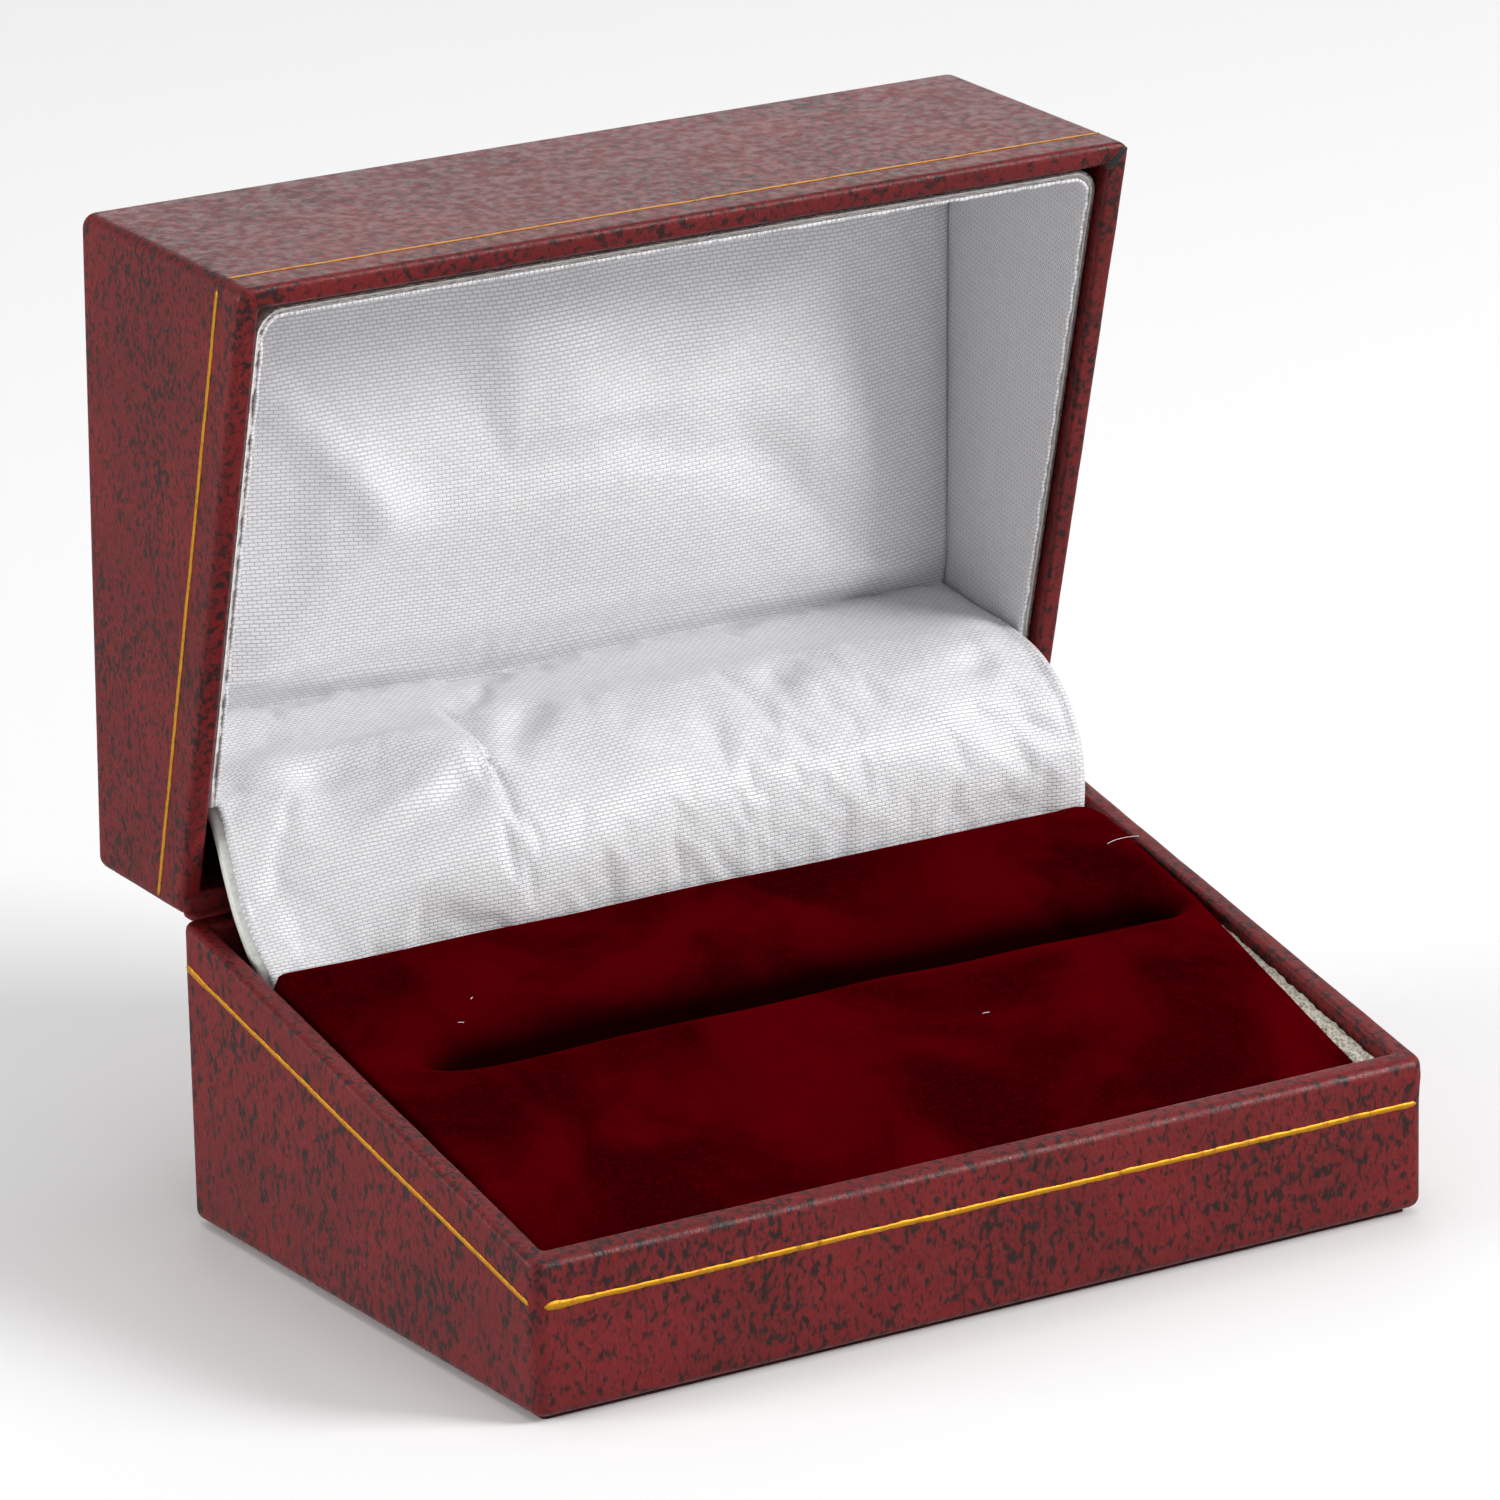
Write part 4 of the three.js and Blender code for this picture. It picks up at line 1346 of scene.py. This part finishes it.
class RINGBOX_OT_hinge_cover(bpy.types.Operator):
    """Makes the satin cover over the hinge"""

    bl_idname = "ringbox.hinge_cover"
    bl_label = "Hinge Cover"

    def execute(self, context):
        bm = hinge_cover_sheet(170, 76)
        swell(bm, 0.35, 0.01, 0.6 * MM)
        folded_wrinkles(bm, COVER_HIGH.x)
        cover = piece("hinge_cover", bm)
        solidify(cover, 0.35 * MM)
        facing = satin("Woven satin of the hinge cover")
        finish(cover, facing, None, "satin", "hinge_cover_satin", "hinge_cover_wadding")
        bm = cloth_grid(60, 40, 2 * COVER_HIGH.x, COVER_LENGTH, lambda u, v: cover_place(u, v, 0.75 * MM))
        face_towards(bm, Vector((0, -1, 1)))
        backing = piece("hinge_cover_backing", bm)
        # The card is doubled over along its two free edges.
        doubled = backing.vertex_groups.new(name="doubled")
        for vert in backing.data.vertices:
            doubled.add([vert.index], smooth_step(26 * MM, 34 * MM, abs(vert.co.x)), "REPLACE")
        solid = solidify(backing, 1.1 * MM)
        solid.vertex_group = "doubled"
        solid.thickness_vertex_group = 0.3
        lined = fibre_board("White-lined card of the hinge cover", "#e4e6e0", "#cdd0c8")
        finish(backing, lined, None, "card", "hinge_cover_card")
        for obj in (cover, backing):
            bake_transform(obj)
        return {"FINISHED"}


class RINGBOX_OT_collar(bpy.types.Operator):
    """Makes the satin-faced card collar in the lid"""

    bl_idname = "ringbox.collar"
    bl_label = "Lid Collar"

    def execute(self, context):
        card = piece("collar_card", collar_layer(0, False))
        thicken(card, 0.66 * MM, 1.0)
        finish(card, fibre_board("White-lined card", "#f4f1ee", "#dedad5"), "lid", "card", "lid_collar")
        facing = piece("collar_satin", collar_layer(0.68 * MM, True))
        thicken(facing, 0.3 * MM, 1.0)
        finish(facing, satin("Woven satin of the collar", 0.3, math.radians(38)), "lid", "satin")
        return {"FINISHED"}


class RINGBOX_OT_loose_threads(bpy.types.Operator):
    """Lays the frayed threads and the lint on the satin and the velvet"""

    bl_idname = "ringbox.loose_threads"
    bl_label = "Loose Threads"

    def execute(self, context):
        fibre = fibre_board("Polyester thread", "#f2f2f4", "#d8d8de")
        frayed = []
        for share, along, length in (
            (0.27, (-1, -0.8, -0.5), 2.2),
            (0.3, (-0.7, -1, -0.9), 2.8),
            (0.33, (-1, -0.3, -0.7), 1.6),
            (0.24, (-1, -0.6, 0.3), 1.3),
        ):
            start = cover_place(0.003, share)
            points = curl(start, along, length * MM, (0.3, 0.2, -1.2))
            frayed.append(thread(points, 0.035 * MM))
        finish(piece("cover_threads", joined(frayed)), fibre, "lid", "satin")
        lint = []
        for x, y, along, length in (
            (37.6, 10.5, (1, 0.4, 0.1), 3.2),
            (-27, 8.2, (0.6, 1, 0), 0.8),
            (-29.5, 6.1, (1, -0.3, 0), 0.5),
            (12, -9, (1, 0.5, 0), 0.7),
        ):
            start = Vector((x * MM, y * MM, velvet_height(x * MM, y * MM) + 0.1 * MM))
            lint.append(thread(curl(start, along, length * MM, (0.4, -1.2, 0)), 0.03 * MM))
        finish(piece("velvet_lint", joined(lint)), fibre, "base", "satin")
        return {"FINISHED"}


class RINGBOX_OT_studio(bpy.types.Operator):
    """Sets the pale floor, the soft lights and the camera"""

    bl_idname = "ringbox.studio"
    bl_label = "Studio"

    def execute(self, context):
        scene = context.scene
        bm = bmesh.new()
        bmesh.ops.create_grid(bm, x_segments=4, y_segments=4, size=6)
        floor = piece("studio_floor", bm, smooth=False)
        material, tree, shader = new_material("Matt white backdrop paper", Roughness=0.9)
        tone = blend_colours(
            tree, cloud(tree, object_place(tree), 0.4, 2), linear("#fbfbfb"), linear("#f6f6f6")
        )
        tree.links.new(tone, shader.inputs["Base Color"])
        floor.data.materials.append(material)
        floor.visible_glossy = False  # the box is glossed by the room, not by the white paper
        bm = bmesh.new()
        bmesh.ops.create_uvsphere(bm, u_segments=48, v_segments=24, radius=5.9)
        bmesh.ops.reverse_faces(bm, faces=bm.faces)
        backdrop = piece("studio_backdrop", bm)
        material, tree, shader = new_material("Pale studio wall", Roughness=1.0)
        shader.inputs["Base Color"].default_value = (0, 0, 0, 1)
        shader.inputs["Emission Color"].default_value = linear("#ececee")
        shader.inputs["Emission Strength"].default_value = 1.0
        backdrop.data.materials.append(material)
        # The wall is only seen: it neither lights the box nor shades it.
        backdrop.visible_diffuse = backdrop.visible_glossy = backdrop.visible_shadow = False
        backdrop.visible_transmission = False
        world = bpy.data.worlds.new("Soft white room")
        world.use_nodes = True
        background = world.node_tree.nodes["Background"]
        background.inputs["Color"].default_value = (1, 1, 1, 1)
        background.inputs["Strength"].default_value = 0.36
        scene.world = world
        centre = Vector((0, 0, 0.04))
        for name, place, size, power in LIGHTS:
            data = bpy.data.lights.new(name, "AREA")
            data.shape = "SQUARE"
            data.size = size
            data.energy = power
            light = bpy.data.objects.new(name, data)
            light.location = place
            light.rotation_euler = (centre - Vector(place)).to_track_quat("-Z", "Y").to_euler()
            light.visible_camera = False
            scene.collection.objects.link(light)
        data = bpy.data.cameras.new("camera")
        data.sensor_width = SENSOR
        data.lens = LENS
        data.clip_start, data.clip_end = 0.01, 50
        camera = bpy.data.objects.new("camera", data)
        turn = Matrix((CAMERA_RIGHT, CAMERA_UP, CAMERA_BACK)).transposed().to_4x4()
        camera.matrix_world = Matrix.Translation(CAMERA_PLACE) @ turn
        scene.collection.objects.link(camera)
        scene.camera = camera
        scene.view_settings.view_transform = "Standard"
        return {"FINISHED"}


class RINGBOX_PT_panel(bpy.types.Panel):
    """Lists the ring box's pieces and settings"""

    bl_idname = "RINGBOX_PT_panel"
    bl_label = "Ring Box"
    bl_space_type = "VIEW_3D"
    bl_region_type = "UI"
    bl_category = "Ring Box"

    def draw(self, context):
        for operator in OPERATORS:
            self.layout.operator(operator.bl_idname)
        for group in ("cover", "foil", "cushion", "satin"):
            box = self.layout.box()
            chosen = getattr(settings(), group)
            for name in chosen.__annotations__:
                box.prop(chosen, name)


OPERATORS = (
    RINGBOX_OT_paper_covers,
    RINGBOX_OT_core_corner,
    RINGBOX_OT_hinge_paper,
    RINGBOX_OT_gold_lines,
    RINGBOX_OT_hard_parts,
    RINGBOX_OT_ring_cushion,
    RINGBOX_OT_lid_pad,
    RINGBOX_OT_hinge_cover,
    RINGBOX_OT_collar,
    RINGBOX_OT_loose_threads,
    RINGBOX_OT_studio,
)
CLASSES = (
    RingBoxCoverSettings,
    RingBoxFoilSettings,
    RingBoxCushionSettings,
    RingBoxSatinSettings,
    RingBoxSettings,
    *OPERATORS,
    RINGBOX_PT_panel,
)


def register():
    for cls in CLASSES:
        bpy.utils.register_class(cls)
    bpy.types.Scene.ring_box = PointerProperty(type=RingBoxSettings)


def unregister():
    del bpy.types.Scene.ring_box
    for cls in reversed(CLASSES):
        bpy.utils.unregister_class(cls)


def main():
    register()
    for operator in OPERATORS:
        group, name = operator.bl_idname.split(".")
        getattr(getattr(bpy.ops, group), name)()


if __name__ == "__main__":
    main()
